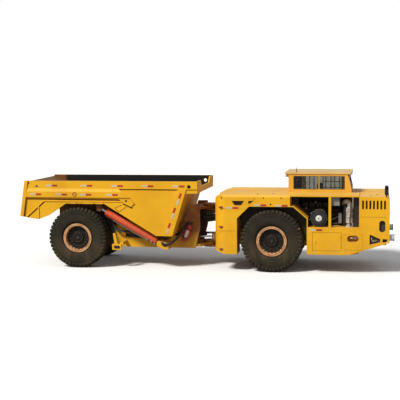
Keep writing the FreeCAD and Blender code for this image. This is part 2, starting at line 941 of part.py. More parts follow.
def steering_bases():
    """On each side, two flat lugs and an upright pin that carry the foot of a steering cylinder."""
    parts = []
    span = "(steer_eye_half + running_gap)"
    for sense in (-1, 1):
        low, high = ordered(sense, "steer_base_side - steer_eye_radius", "frame_half_width - frame_plate")
        back = hinge("-steer_base_back - steer_eye_radius")
        ahead = hinge("-steer_base_back + steer_eye_radius")
        for start in (f"steer_up + {span}", f"steer_up - {span} - steer_lug_thick"):
            parts.append(block(back, ahead, low, high, start, f"{start} + steer_lug_thick"))
        parts.append(rod("Z", "steer_pin_radius", f"2 * ({span} + steer_lug_thick)",
                         hinge("-steer_base_back"), f"{sense} * steer_base_side",
                         f"steer_up - {span} - steer_lug_thick"))
    return parts


def make_side_brackets():
    """A plate with a long tie-down hole outside each side of the rear frame, on a tube."""
    brackets = []
    for sense in SIDES.values():
        plate = new_body("SideBracket")
        low, high = ordered(sense, "bracket_side", "bracket_side + bracket_thick")
        outline = [
            (rear("bracket_back"), "bracket_low", "bracket_corner"),
            (rear("bracket_back + bracket_long"), "bracket_low", "bracket_corner"),
            (rear("bracket_back + bracket_long"), "bracket_low + bracket_high", "bracket_corner"),
            (rear("bracket_back + bracket_arm_foot"), "bracket_low + bracket_high"),
            (rear("bracket_back + bracket_arm_front"), "bracket_arm_top", "bracket_arm_round"),
            (rear("bracket_back + bracket_arm_back"), "bracket_arm_top", "bracket_arm_round"),
            (rear("bracket_back + bracket_arm_root"), "bracket_low + bracket_high"),
            (rear("bracket_back"), "bracket_low + bracket_high", "bracket_corner"),
        ]
        extrude(plate, "XZ", low, high, [outline])
        middle = "bracket_low + 0.5 * bracket_high"
        slot = [
            (rear(f"bracket_back + {along}"), f"{middle} {up} bracket_slot_half", "bracket_slot_round")
            for along, up in (
                ("bracket_slot_edge", "-"),
                ("bracket_long - bracket_slot_edge", "-"),
                ("bracket_long - bracket_slot_edge", "+"),
                ("bracket_slot_edge", "+"),
            )
        ]
        extrude(plate, "XZ", low, high, [slot], cut=True)
        low, high = ordered(sense, "frame_half_width", "bracket_side")
        tube = rod("Y", "bracket_tube_radius", f"({high}) - ({low})",
                   rear("bracket_back + bracket_long"), low, "bracket_low + bracket_high")
        brackets.append(fused(plate, tube))
    keep("side_brackets", grouped(*brackets))


def make_extinguisher():
    """A fire extinguisher that leans on a saddle plate on the right of the frame's neck."""
    centre_y = "-frame_half_width - saddle_thick - bottle_radius"
    bottle = rod("Z", "bottle_radius", "bottle_length")
    neck = rod("Z", "bottle_neck_radius", "bottle_length + bottle_neck")
    body = fused(bottle, neck)
    lean = FreeCAD.Rotation(FreeCAD.Vector(0, 1, 0), BOTTLE_LEAN)
    body.Placement = FreeCAD.Placement(FreeCAD.Vector(), lean)
    place(body, rear("bottle_ahead"), centre_y, "bottle_low")
    saddle = block(rear("bottle_ahead"), rear("bottle_ahead + 2 * bottle_radius + saddle_over"),
                   f"{centre_y} - 0.5 * bottle_radius", "-frame_half_width",
                   "bottle_low + saddle_end", "bottle_low + bottle_length - saddle_end")
    keep("fire_extinguisher", fused(body, saddle))


# ---------------------------------------------------------------- cylinders
def span_of(along, across):
    """Pin-to-pin length of a closed cylinder."""
    return f"sqrt(({along})^2 + ({across})^2)"


def make_cylinder(label, kind, closed, eye_axis, turn_axis, turn, x, y, z):
    """A barrel with a bored eye at its foot, and a rod whose far eye holds a short pin.

    Both are drawn along +X from the foot's pin, then turned and moved to their place.
    """
    def size(word):
        return f"{kind}_{word}"

    def across(radius, half, at):
        start = {"x": at, "y": "0", "z": "0", eye_axis.lower(): f"-({half})"}
        return rod(eye_axis, radius, f"2 * ({half})", start["x"], start["y"], start["z"])

    def ring(at):
        return across(size("eye_radius"), size("eye_half"), at)

    def bore(at):
        return across(f"{size('pin_radius')} + pin_gap", f"{size('eye_half')} + bore_overrun", at)

    foot = size("foot_start")
    tube_start = f"{size('eye_radius')} + barrel_foot"
    head_room = f"({tube_start} + barrel_foot)"
    tube = rod("X", size("barrel_radius"), f"{size('barrel_length')} - ({tube_start})", tube_start)
    neck = rod("X", size("neck_radius"), f"{tube_start} + neck_overlap - {foot}", foot)
    hollow = rod("X", size("bore_radius"), size("barrel_length"), head_room)
    gland_start = f"{size('barrel_length')} - gland_length"
    gland = less(
        rod("X", size("bore_radius"), "gland_length", gland_start),
        rod("X", f"{size('rod_radius')} + pin_gap", "gland_length + 2 * bore_overrun",
            f"{gland_start} - bore_overrun"),
    )
    outside = [tube, neck, ring("0")]
    if kind == "hoist":
        outside.append(rod("X", "pipe_radius", f"{size('barrel_length')} - {tube_start} - 2 * pipe_inset",
                           f"{tube_start} + pipe_inset", "0", "pipe_offset"))
    barrel = fused(less(fused(*outside), hollow, bore("0")), gland)
    rod_start = f"({head_room} + running_gap + {size('retract')})"
    shaft = rod("X", size("rod_radius"), f"{closed} - {rod_start} - {foot}", rod_start)
    piston = rod("X", f"{size('bore_radius')} - pin_gap", "piston_length", rod_start)
    far_pin = across(size("pin_radius"), f"{size('eye_half')} + 0.5 * running_gap", closed)
    ram = fused(shaft, piston, ring(closed), far_pin)
    for part, name in ((barrel, "barrel"), (ram, "rod")):
        part.Placement = FreeCAD.Placement(FreeCAD.Vector(), FreeCAD.Rotation(turn_axis, 1))
        part.setExpression("Placement.Rotation.Angle", bound(turn))
        place(part, x, y, z)
        keep(label.format(name), part)


def make_hoist_cylinders():
    along = "hoist_eye_ahead - hoist_base_ahead"
    rise = "hoist_eye_up - hoist_base_up"
    closed = span_of(along, rise)
    for side, sense in SIDES.items():
        make_cylinder(f"hoist_{{}}_{side}", "hoist", closed, "Y", FreeCAD.Vector(0, -1, 0),
                      f"atan2({rise}; {along})",
                      rear("hoist_base_ahead"), f"{sense} * hoist_side", "hoist_base_up")


def make_steering_cylinders():
    along = "steer_base_back + steer_eye_ahead"
    outwards = "steer_eye_side - steer_base_side"
    closed = span_of(along, outwards)
    for side, sense in SIDES.items():
        make_cylinder(f"steering_{{}}_{side}", "steer", closed, "Z", FreeCAD.Vector(0, 0, 1),
                      f"atan2({sense} * ({outwards}); {along})",
                      hinge("-steer_base_back"), f"{sense} * steer_base_side", "steer_up")


# ---------------------------------------------------------------- dump box
FRONT_LEAN = "((knee_front - belly_front) / (knee_up - belly_up))"


def floor_line():
    """The underside of the floor from the tail to the foot of the front wall."""
    return [
        (rear("-tail_top_back"), "box_top - scow_top_drop"),
        (rear("-scow_start_back"), "arch_up"),
        (rear("arch_front"), "arch_up"),
        (rear("belly_rear"), "belly_up"),
        (rear("belly_front"), "belly_up"),
    ]


def make_box_floor():
    body = new_body("box_floor")
    inside = "box_half_width - box_wall"
    lower = floor_line()
    upper = [(across, f"{up} + box_floor") for across, up in reversed(lower)]
    extrude(body, "XZ", f"-({inside})", inside, [lower + upper])
    beams = new_body("BoxBeams")
    pivot = rear("-tail_pivot_back")
    beam = [
        (rear("-tail_pivot_back - tail_pivot_boss"), "tail_pivot_up - tail_pivot_boss", "beam_tail_round"),
        (rear("-tail_pivot_back + tail_pivot_boss"), "tail_pivot_up - tail_pivot_boss", "beam_round"),
        (rear("-scow_start_back"), "beam_low"),
        (rear("beam_front"), "beam_low"),
        (rear("arch_front"), "arch_up"),
        (rear("-scow_start_back"), "arch_up"),
        (rear("-tail_pivot_back - tail_pivot_boss"), "beam_tail_up"),
    ]
    for sense in (-1, 1):
        low, high = ordered(sense, "beam_y - beam_wide", "beam_y")
        extrude(beams, "XZ", low, high, [beam])
        extrude(beams, "XZ", low, high, [], [(pivot, "tail_pivot_up", "tail_pivot_pin + pin_gap")], cut=True)
    keep("box_floor", body)
    keep("box_subframe", grouped(beams, *hoist_brackets()))


def make_box_front():
    """The slanted front wall, and the headboard that leans out over the neck."""
    body = new_body("box_front")
    inside = "box_half_width - box_wall"
    outer = [
        (rear("belly_front"), "belly_up"),
        (rear("knee_front"), "knee_up"),
        (rear("headboard_front"), "headboard_low"),
        (rear("headboard_front"), "box_top"),
    ]
    inner = [
        (rear("headboard_front - box_wall"), "box_top"),
        (rear("headboard_front - box_wall"), "headboard_low + front_overlap"),
        (rear("knee_front - box_wall"), "knee_up + front_overlap"),
        (rear(f"belly_front - box_wall + box_floor * {FRONT_LEAN}"), "belly_up + box_floor"),
        (rear(f"belly_front + box_floor * {FRONT_LEAN}"), "belly_up + box_floor"),
    ]
    extrude(body, "XZ", f"-({inside})", inside, [outer[1:] + inner])
    notch = [
        ("-notch_half_width", "box_top + bore_overrun"),
        ("-notch_half_width + headboard_notch", "box_top - headboard_notch"),
        ("notch_half_width - headboard_notch", "box_top - headboard_notch"),
        ("notch_half_width", "box_top + bore_overrun"),
    ]
    extrude(body, "YZ", rear("knee_front"), rear("headboard_front + bore_overrun"), [notch], cut=True)
    keep("box_front", body)


def side_outline():
    """A side wall, from the top of the tail round its skirts and belly to the headboard."""
    return [
        (rear("-tail_top_back"), "box_top"),
        (rear("-tail_overhang"), "tail_low_up"),
        (rear("-skirt_rear_back"), "skirt_rear_up"),
        (rear("-skirt_low_back"), "skirt_low_up"),
        (rear("-skirt_front_back"), "skirt_front_up"),
        (rear("-arch_rear_back"), "arch_up"),
        (rear("arch_front"), "arch_up"),
        (rear("belly_rear"), "belly_up"),
        (rear("belly_front"), "belly_up"),
        (rear("knee_front"), "knee_up"),
        (rear("headboard_front"), "headboard_low"),
        (rear("headboard_front"), "box_top"),
    ]


def rail_hole():
    return (rear("rail_hole_ahead"), "box_top - rail_hole_drop", "rail_hole_radius")


def crease_outlines():
    """The raised fold of the wall's lower plate, and the upright rib behind the wheel."""
    wide = "crease_wide"
    fold = [
        (rear("-crease_back"), "crease_low"),
        (rear(f"-crease_back + crease_foot_share * {wide}"), "crease_low"),
        (rear(f"-crease_turn + crease_turn_share * {wide}"), "crease_up"),
        (rear("gusset_foot_back"), "crease_up"),
        (rear("gusset_foot_back"), f"crease_up + {wide}"),
        (rear("-crease_turn"), f"crease_up + {wide}"),
    ]
    rib = [
        (rear("-skirt_rib_back"), "skirt_rib_low"),
        (rear("-skirt_rib_back + skirt_rib_wide"), "skirt_rib_low"),
        (rear("-skirt_rib_back + skirt_rib_wide"), "skirt_rib_top"),
        (rear("-skirt_rib_back"), "skirt_rib_top"),
    ]
    return [fold, rib]


def make_box_sides():
    """On each side of the box, a wall, and outside it a rail, a lower band and a front post."""
    inside = "box_half_width - box_wall"
    wall = new_body("box_side_left")
    extrude(wall, "XZ", inside, "box_half_width", [side_outline()])
    extrude(wall, "XZ", inside, "box_half_width", [], [rail_hole()], cut=True)
    keep("box_side_left", wall)
    keep("box_side_right", mirrored(wall))
    rail = new_body("box_rail_left")
    tail = rear("-tail_top_back")
    extrude(rail, "YZ", tail, rear("headboard_front"), [[
        ("box_half_width", "box_top - rail_drop"),
        (RAIL_OUT, "box_top - rail_drop"),
        (RAIL_OUT, "box_top"),
        ("box_half_width", "box_top"),
    ]])
    extrude(rail, "XZ", "box_half_width", RAIL_OUT, [], [rail_hole()], cut=True)
    extrude(rail, "YZ", tail, rear("band_front"), [[
        ("box_half_width", "box_top - band_low_drop"),
        (BAND_OUT, "box_top - band_low_drop"),
        (BAND_OUT, "box_top - band_top_drop"),
        (RAIL_OUT, "box_top - rail_drop"),
        ("box_half_width", "box_top - rail_drop"),
    ]])
    slant = [
        (rear("band_front - band_slant"), "box_top - rail_drop"),
        (rear("band_front + bore_overrun"), "box_top - band_low_drop - bore_overrun"),
        (rear("band_front + bore_overrun"), "box_top - rail_drop"),
    ]
    extrude(rail, "XZ", "box_half_width", f"{BAND_OUT} + bore_overrun", [slant], cut=True)
    lean_top = f"{FRONT_LEAN} * (box_top - rail_drop - belly_up)"
    extrude(rail, "XZ", "box_half_width", RAIL_OUT, [[
        (rear("belly_front - post_wide"), "belly_up"),
        (rear("belly_front"), "belly_up"),
        (rear(f"belly_front + {lean_top}"), "box_top - rail_drop"),
        (rear(f"belly_front + {lean_top} - post_wide"), "box_top - rail_drop"),
    ]])
    extrude(rail, "XZ", "box_half_width", "box_half_width + crease_proud", crease_outlines())
    extrude(rail, "XZ", "box_half_width", BAND_OUT, [[
        (rear("-tail_top_back"), "box_top"),
        (rear("-tail_overhang"), "tail_low_up"),
        (rear("-tail_overhang + tail_post_wide"), "tail_low_up"),
        (rear("-tail_top_back + tail_post_wide"), "box_top"),
    ]])
    extrude(rail, "XZ", "box_half_width", RAIL_OUT, [[
        (rear("gusset_back"), "box_top - band_low_drop"),
        (rear("gusset_foot_back"), "gusset_foot_back_up"),
        (rear("gusset_foot"), "gusset_foot_up"),
        (rear("gusset_ahead"), "gusset_up"),
        (rear("band_front"), "box_top - band_low_drop"),
    ]])
    extrude(rail, "XZ", "box_half_width", RAIL_OUT, [],
            [(rear("gusset_pin_ahead"), "gusset_pin_up", "gusset_pin_radius")], cut=True)
    keep("box_rail_left", rail)
    keep("box_rail_right", mirrored(rail))


def hoist_brackets():
    """Two lugs with pin heads under the floor, each side of a hoist cylinder's rod eye."""
    parts = []
    for sense in (-1, 1):
        lugs = new_body("BoxLugs")
        lug = [
            (rear("hoist_eye_ahead - hoist_lug_reach"), "hoist_eye_up - hoist_lug_reach", "hoist_lug_round"),
            (rear("hoist_eye_ahead + hoist_lug_reach"), "hoist_eye_up - hoist_lug_reach", "hoist_lug_round"),
            (rear("hoist_eye_ahead + hoist_lug_reach"), "arch_up"),
            (rear("hoist_eye_ahead - hoist_lug_reach"), "arch_up"),
        ]
        inner = "hoist_side - hoist_eye_half - running_gap - hoist_lug_thick"
        outer = "hoist_side + hoist_eye_half + running_gap"
        for near in (inner, outer):
            low, high = ordered(sense, near, f"{near} + hoist_lug_thick")
            extrude(lugs, "XZ", low, high, [lug])
        heads = []
        for near in (f"{inner} - pin_head", f"{outer} + hoist_lug_thick"):
            low, high = ordered(sense, near, f"{near} + pin_head")
            heads.append(rod("Y", "hoist_pin_radius + pin_head_spread", "pin_head", rear("hoist_eye_ahead"),
                             low, "hoist_eye_up"))
        parts.append(fused(lugs, *heads))
    return parts


# ---------------------------------------------------------------- tractor chassis
def make_front_frame():
    plates = new_body("FrontFramePlates")
    inner = "chassis_half_width - chassis_plate"
    bulkhead = hinge("bulkhead_ahead_of_hinge")
    side = [
        (bulkhead, "chassis_low"),
        (front("-chassis_axle_half - chassis_rise"), "chassis_low"),
        (front("-chassis_axle_half"), "chassis_axle_low"),
        (front("chassis_axle_half"), "chassis_axle_low"),
        (front("chassis_axle_half + chassis_rise"), "chassis_low"),
        (front("radiator_back"), "chassis_low"),
        (front("radiator_back"), "chassis_front_top"),
        (front("chassis_axle_half + chassis_fall"), "chassis_front_top"),
        (front("chassis_axle_half"), "chassis_top"),
        (bulkhead, "chassis_top"),
    ]
    extrude(plates, "XZ", inner, "chassis_half_width", [side])
    extrude(plates, "XZ", "-chassis_half_width", f"-({inner})", [side])
    wall = block(bulkhead, f"{bulkhead} + bulkhead_thick", "-fender_inner", "fender_inner",
                 "fender_low", "bulkhead_top")
    cross = [
        cross_rod("cross_radius", "chassis_half_width", front(ahead), "0", "chassis_low + cross_radius")
        for ahead in ("-chassis_cross", "chassis_cross")
    ]
    ears = []
    gap = "0.5 * hinge_ear_thick + running_gap"
    for up in ("lower_hinge_up", "upper_hinge_up"):
        for low in (f"{up} + {gap}", f"{up} - ({gap}) - tractor_ear_thick"):
            ears.append(make_tractor_ear(low))
    lugs = []
    span = "(steer_eye_half + running_gap)"
    for sense in (-1, 1):
        low, high = ordered(sense, "steer_eye_side - steer_eye_radius", "steer_eye_side + steer_eye_radius")
        back = hinge("steer_eye_ahead - steer_eye_radius")
        heads = (f"steer_up + {span} + steer_lug_thick", f"steer_up - {span} - steer_lug_thick - pin_head")
        for start in (f"steer_up + {span}", f"steer_up - {span} - steer_lug_thick"):
            lug = new_body("SteeringLug")
            extrude(lug, "XY", start, f"{start} + steer_lug_thick", [[
                (back, low, "steer_lug_round"),
                (bulkhead, low),
                (bulkhead, high),
                (back, high, "steer_lug_round"),
            ]])
            lugs.append(lug)
        for start in heads:
            lugs.append(rod("Z", "steer_pin_radius + pin_head_spread", "pin_head", hinge("steer_eye_ahead"),
                            f"{sense} * steer_eye_side", start))
    frame = fused(plates, wall, *cross, *ears, *lugs)
    reach = f"({gap} + tractor_ear_thick + pin_head)"
    pins = [
        rod("Z", "hinge_pin_radius", f"2 * {reach}", HINGE, "0", f"{up} - {reach}")
        for up in ("lower_hinge_up", "upper_hinge_up")
    ]
    bumper_inside = "shell_half_width - shell_skin"
    bumper = block(front("radiator_back"), front("nose_face"), "-bumper_side", "bumper_side",
                   "nose_low", "bumper_top")
    bumper_face = block(front("nose_face - deck_thick"), front("nose_face"), f"-({bumper_inside})",
                        bumper_inside, "nose_low", "bumper_top")
    keep("front_frame", fused(frame, *pins, bumper, bumper_face))


def make_tractor_ear(low):
    """A tapered plate from the tractor's rear wall back to the hinge."""
    ear = new_body("TractorEar")
    wall = hinge("bulkhead_ahead_of_hinge")
    web = [
        (wall, "-ear_root"),
        (wall, "ear_root"),
        (HINGE, "hinge_ear_radius"),
        (HINGE, "-hinge_ear_radius"),
    ]
    extrude(ear, "XY", low, f"{low} + tractor_ear_thick", [web])
    return fused(ear, rod("Z", "hinge_ear_radius", "tractor_ear_thick", HINGE, "0", low))


# ---------------------------------------------------------------- tractor shell
def make_fender(end):
    """The tank behind a front wheel and the panel over it, as far as a station, on the left."""
    back = hinge("fender_behind_hinge")
    side = new_body("FenderSide")
    extrude(side, "XZ", "fender_inner", "shell_half_width", [[
        (back, "fender_rear_up", "fender_foot_round"),
        (front("-fender_low_back"), "fender_low"),
        (front("-arch_back"), "fender_low"),
        (front("-arch_back"), "arch_back_up"),
        (front("-arch_top_back"), "arch_top_up"),
        (end, "arch_top_up"),
        (end, "shell_top"),
        (back, "shell_top", "fender_top_round"),
    ]])
    moon = [
        (front("-moon_back"), "moon_high"),
        (front("-moon_foot_back"), "moon_low", "moon_round"),
        (front("-moon_foot_front"), "moon_low", "moon_round"),
        (front("-moon_front"), "moon_high"),
    ]
    corner_hole = [
        (front("-corner_hole_back"), "moon_high"),
        (front("-corner_hole_back"), "corner_hole_low"),
        (front("-corner_hole_front"), "moon_high"),
    ]
    extrude(side, "XZ", "shell_half_width - fender_hole_deep", "shell_half_width", [moon, corner_hole],
            cut=True)
    plan = new_body("FenderPlan")
    extrude(plan, "XY", "0", "shell_top", [[
        (back, "0"),
        (front("nose_face"), "0"),
        (front("nose_face"), "shell_half_width"),
        (back, "shell_half_width", "fender_corner"),
    ]])
    section = new_body("FenderSection")
    extrude(section, "YZ", back, front("nose_face"), [[
        ("0", "0"),
        ("shell_half_width", "0"),
        ("shell_half_width", "shell_top", "shell_edge_round"),
        ("0", "shell_top"),
    ]])
    return common(side, plan, section)


def make_fenders():
    keep("fender_left", make_fender(front("cab_back - running_gap")))
    keep("fender_right", mirrored(make_fender(front("bay_rear"))))


def make_rear_hood():
    """The lid between the two fenders, from the rear wall to the engine bay and the cab."""
    body = new_body("hood_rear")
    low = "shell_top - deck_thick"
    extrude(body, "XY", low, "shell_top", [[
        (hinge("bulkhead_ahead_of_hinge"), "-fender_inner"),
        (front("bay_rear"), "-fender_inner"),
        (front("bay_rear"), "-cab_right"),
        (front("cab_back - running_gap"), "-cab_right"),
        (front("cab_back - running_gap"), "fender_inner"),
        (hinge("bulkhead_ahead_of_hinge"), "fender_inner"),
    ]])
    keep("hood_rear", body)


def make_wheel_arch():
    """The folded plate between the right front wheel and the engine bay."""
    body = new_body("arch_right")
    thick = "arch_plate"
    extrude(body, "XZ", "-shell_half_width", "-fender_inner", [[
        (front("bay_rear"), "arch_top_up"),
        (front("arch_top_ahead"), "arch_top_up"),
        (front("arch_ahead"), "arch_ahead_up"),
        (front("arch_ahead"), "skirt_low"),
        (front(f"arch_ahead + {thick}"), "skirt_low"),
        (front(f"arch_ahead + {thick}"), f"arch_ahead_up + 0.5 * {thick}"),
        (front(f"arch_top_ahead + 0.5 * {thick}"), f"arch_top_up + {thick}"),
        (front("bay_rear"), f"arch_top_up + {thick}"),
    ]])
    keep("arch_right", body)


NOSE_RISE = "((nose_low - skirt_low) / (nose_face - skirt_turn))"


def skirt_profile(back):
    """Side view of the shell ahead of the front wheel and below the engine bay."""
    return [
        (front(back), "skirt_low"),
        (front("skirt_turn"), "skirt_low"),
        (front("nose_face"), "nose_low"),
        (front("nose_face"), "nose_top", "nose_round"),
        (front("bay_front"), "nose_top"),
        (front("bay_front"), "bay_floor"),
        (front(back), "bay_floor"),
    ]


def flat_oval():
    """The hole through the side panel and into the box behind it."""
    return [
        (front("flat_oval_back"), "flat_oval_low", "flat_oval_round"),
        (front("flat_oval_front"), "flat_oval_low", "flat_oval_round"),
        (front("flat_oval_front"), "flat_oval_high", "flat_oval_round"),
        (front("flat_oval_back"), "flat_oval_high", "flat_oval_round"),
    ]


def nose_holes():
    """Seven louvres, an upright oval and two cut-outs low down."""
    holes = []
    for index in range(int(value("louvre_count"))):
        back = front(f"louvre_back + {index} * louvre_pitch")
        ahead = front(f"louvre_back + {index} * louvre_pitch + louvre_wide")
        holes.append([
            (back, "louvre_low", "louvre_round"),
            (ahead, "louvre_low", "louvre_round"),
            (ahead, "louvre_high", "louvre_round"),
            (back, "louvre_high", "louvre_round"),
        ])
    holes.append([
        (front("tall_oval_back"), "tall_oval_low", "tall_oval_round"),
        (front("tall_oval_front"), "tall_oval_low", "tall_oval_round"),
        (front("tall_oval_front"), "tall_oval_high", "tall_oval_round"),
        (front("tall_oval_back"), "tall_oval_high", "tall_oval_round"),
    ])
    holes.append([
        (front("tow_back"), "tow_back_low", "tow_round"),
        (front("tow_front"), "tow_front_low", "tow_round"),
        (front("tow_front"), "tow_front_high", "tow_round"),
        (front("tow_back"), "tow_back_high", "tow_round"),
    ])
    holes.append([
        (front("step_back"), "step_low"),
        (front("step_front"), "step_low"),
        (front("step_front"), "step_high"),
        (front("step_back"), "step_high"),
    ])
    return holes


def make_nose_sides():
    """The side panels of the nose, with their louvres, ovals and cut-outs."""
    body = new_body("NoseSideRight")
    low = "-shell_half_width"
    high = "-shell_half_width + shell_skin"
    extrude(body, "XZ", low, high, [skirt_profile("arch_ahead + arch_plate")])
    holes = [[
        (front("locker_door_back"), "locker_door_low"),
        (front("locker_door_front"), "locker_door_low"),
        (front("locker_door_front"), "locker_door_top"),
        (front("locker_door_back"), "locker_door_top"),
    ]]
    extrude(body, "XZ", low, high, holes, cut=True)
    extrude(body, "XZ", f"{low} - panel_proud", low, [[
        (front("panel_back"), "panel_low"),
        (front("panel_front"), "panel_low"),
        (front("panel_front"), "panel_high"),
        (front("panel_back"), "panel_high"),
    ]])
    extrude(body, "XZ", f"{low} - panel_proud", high, [flat_oval()], cut=True)
    extrude(body, "XZ", low, high, nose_holes(), cut=True)
    make_locker_door(body)
    left = new_body("NoseSideLeft")
    past_turn = "cab_front + running_gap - skirt_turn"
    extrude(left, "XZ", "shell_half_width - shell_skin", "shell_half_width", [[
        (front("cab_front + running_gap"), f"skirt_low + ({past_turn}) * {NOSE_RISE}"),
        (front("nose_face"), "nose_low"),
        (front("nose_face"), "nose_top", "nose_round"),
        (front("cab_front + running_gap"), "nose_top"),
    ]])
    extrude(left, "XZ", "shell_half_width - shell_skin", "shell_half_width", nose_holes(), cut=True)
    keep("nose_sides", grouped(body, left))


def make_locker_door(frame):
    """The locker's door, hinged on its front edge to the side panel."""
    door = new_body("locker_door")
    gap = "door_edge_gap"
    extrude(door, "XZ", "-shell_half_width", "-shell_half_width + shell_skin", [[
        (front(f"locker_door_back + {gap}"), f"locker_door_low + {gap}", "locker_corner"),
        (front(f"locker_door_front - {gap}"), f"locker_door_low + {gap}", "locker_corner"),
        (front(f"locker_door_front - {gap}"), f"locker_door_top - {gap}", "locker_corner"),
        (front(f"locker_door_back + {gap}"), f"locker_door_top - {gap}", "locker_corner"),
    ]])
    add_hinges(door, frame, front(f"locker_door_front - 0.5 * {gap}"), "-shell_half_width",
               ("locker_door_low + locker_hinge_inset", "locker_door_top - 2 * locker_hinge_inset"),
               "locker_knuckle_radius")
    keep("locker_door", door)


def make_locker():
    """The box below the engine bay, open on its outer side behind the locker door."""
    outside = "-shell_half_width + shell_skin"
    body = new_body("locker")
    back = front("arch_ahead + arch_plate")
    ahead = front("locker_front")
    outline = [
        (back, "skirt_low"),
        (front("skirt_turn"), "skirt_low"),
        (ahead, "skirt_low + locker_rise"),
        (ahead, "bay_floor"),
        (back, "bay_floor"),
    ]
    extrude(body, "XZ", outside, f"{outside} + locker_depth", [outline])
    pocket = [
        (front("locker_door_back"), "locker_door_low"),
        (front("locker_door_front"), "locker_door_low"),
        (front("locker_door_front"), "locker_door_top"),
        (front("locker_door_back"), "locker_door_top"),
    ]
    extrude(body, "XZ", outside, f"{outside} + locker_depth - shell_skin", [pocket], cut=True)
    extrude(body, "XZ", outside, f"{outside} + oval_deep", [flat_oval()], cut=True)
    keep("locker", body)


def make_decks():
    """The deck over the engine bay, and the hood over the nose."""
    low = "shell_top - deck_thick"
    body = new_body("deck_engine")
    extrude(body, "XY", low, "shell_top", [[
        (front("bay_rear"), "-shell_half_width"),
        (front("bay_front"), "-shell_half_width"),
        (front("bay_front"), "-cab_right - running_gap"),
        (front("bay_rear"), "-cab_right - running_gap"),
    ]])
    post = block(front("post_back"), front("post_front"), "-shell_half_width",
                 "-shell_half_width + shell_skin", "bay_floor", low)
    keep("deck_engine", fused(body, post))
    hood = new_body("hood_front")
    inside = "shell_half_width - shell_skin"
    extrude(hood, "XZ", f"-({inside})", inside, [[
        (front("bay_front"), "nose_top - deck_thick"),
        (front("nose_face - deck_thick"), "nose_top - deck_thick", "nose_round - deck_thick"),
        (front("nose_face - deck_thick"), "grille_top"),
        (front("nose_face"), "grille_top"),
        (front("nose_face"), "nose_top", "nose_round"),
        (front("bay_front"), "nose_top"),
    ]])
    keep("hood_front", hood)


def make_nose_face():
    """The front wall: a grille frame with its bars, and the two headlamps."""
    inside = "shell_half_width - shell_skin"
    body = new_body("grille")
    back = front("nose_face - deck_thick")
    ahead = front("nose_face")
    extrude(body, "YZ", back, ahead, [[
        (f"-({inside})", "bumper_top"),
        (inside, "bumper_top"),
        (inside, "grille_top"),
        (f"-({inside})", "grille_top"),
    ]])
    extrude(body, "YZ", back, ahead, [[
        ("-grille_half_width", "bumper_top + grille_border"),
        ("grille_half_width", "bumper_top + grille_border"),
        ("grille_half_width", "grille_top - grille_border"),
        ("-grille_half_width", "grille_top - grille_border"),
    ]], cut=True)
    bars = []
    opening = "(grille_top - bumper_top - 2 * grille_border)"
    for index in range(1, int(value("grille_bars")) + 1):
        middle = f"bumper_top + grille_border + {index} / (grille_bars + 1) * {opening}"
        bars.append(block(back, ahead, "-grille_half_width", "grille_half_width",
                          f"{middle} - 0.5 * grille_bar_tall", f"{middle} + 0.5 * grille_bar_tall"))
    for index in range(1, int(value("grille_posts")) + 1):
        middle = f"(2 * {index} / (grille_posts + 1) - 1) * grille_half_width"
        bars.append(block(back, ahead, f"{middle} - 0.5 * grille_post_wide",
                          f"{middle} + 0.5 * grille_post_wide",
                          "bumper_top + grille_border", "grille_top - grille_border"))
    keep("grille", fused(body, *bars))
    lamps = [
        rod("X", "lamp_radius", "nose_overhang - nose_face", ahead, f"{sense} * lamp_side", "lamp_up")
        for sense in SIDES.values()
    ]
    for ahead_by in ("work_lamp_back", "work_lamp_front"):
        for side in ("-cab_right + work_lamp_inset", f"{CAB_LEFT} - work_lamp_inset"):
            lamps.append(rod("X", "work_lamp_radius", "work_lamp_long", front(ahead_by), side,
                             "cab_top - work_lamp_drop"))
    keep("headlamps", grouped(*lamps))


def add_hinges(door, frame, x, y, heights, radius):
    """Upright hinges: a knuckle and pin on the frame below a bored knuckle on the door.

    Each piece is cut back round the other's knuckle.
    """
    clear = f"{radius} + running_gap"
    for height in heights:
        middle = f"{height} + knuckle_tall"
        top = f"{middle} + knuckle_tall"
        gap = "knuckle_gap"
        extrude(door, "XY", f"{height} - {gap}", f"{middle} + {gap}", [], [(x, y, clear)], cut=True)
        extrude(frame, "XY", f"{middle} - {gap}", f"{top} + {gap}", [], [(x, y, clear)], cut=True)
        extrude(frame, "XY", height, middle, [], [(x, y, radius)])
        extrude(frame, "XY", middle, top, [], [(x, y, f"0.5 * {radius}")])
        extrude(door, "XY", f"{middle} + {gap}", top, [], [(x, y, radius)])
        extrude(door, "XY", f"{middle} + {gap}", top, [], [(x, y, f"0.5 * {radius} + pin_gap")], cut=True)


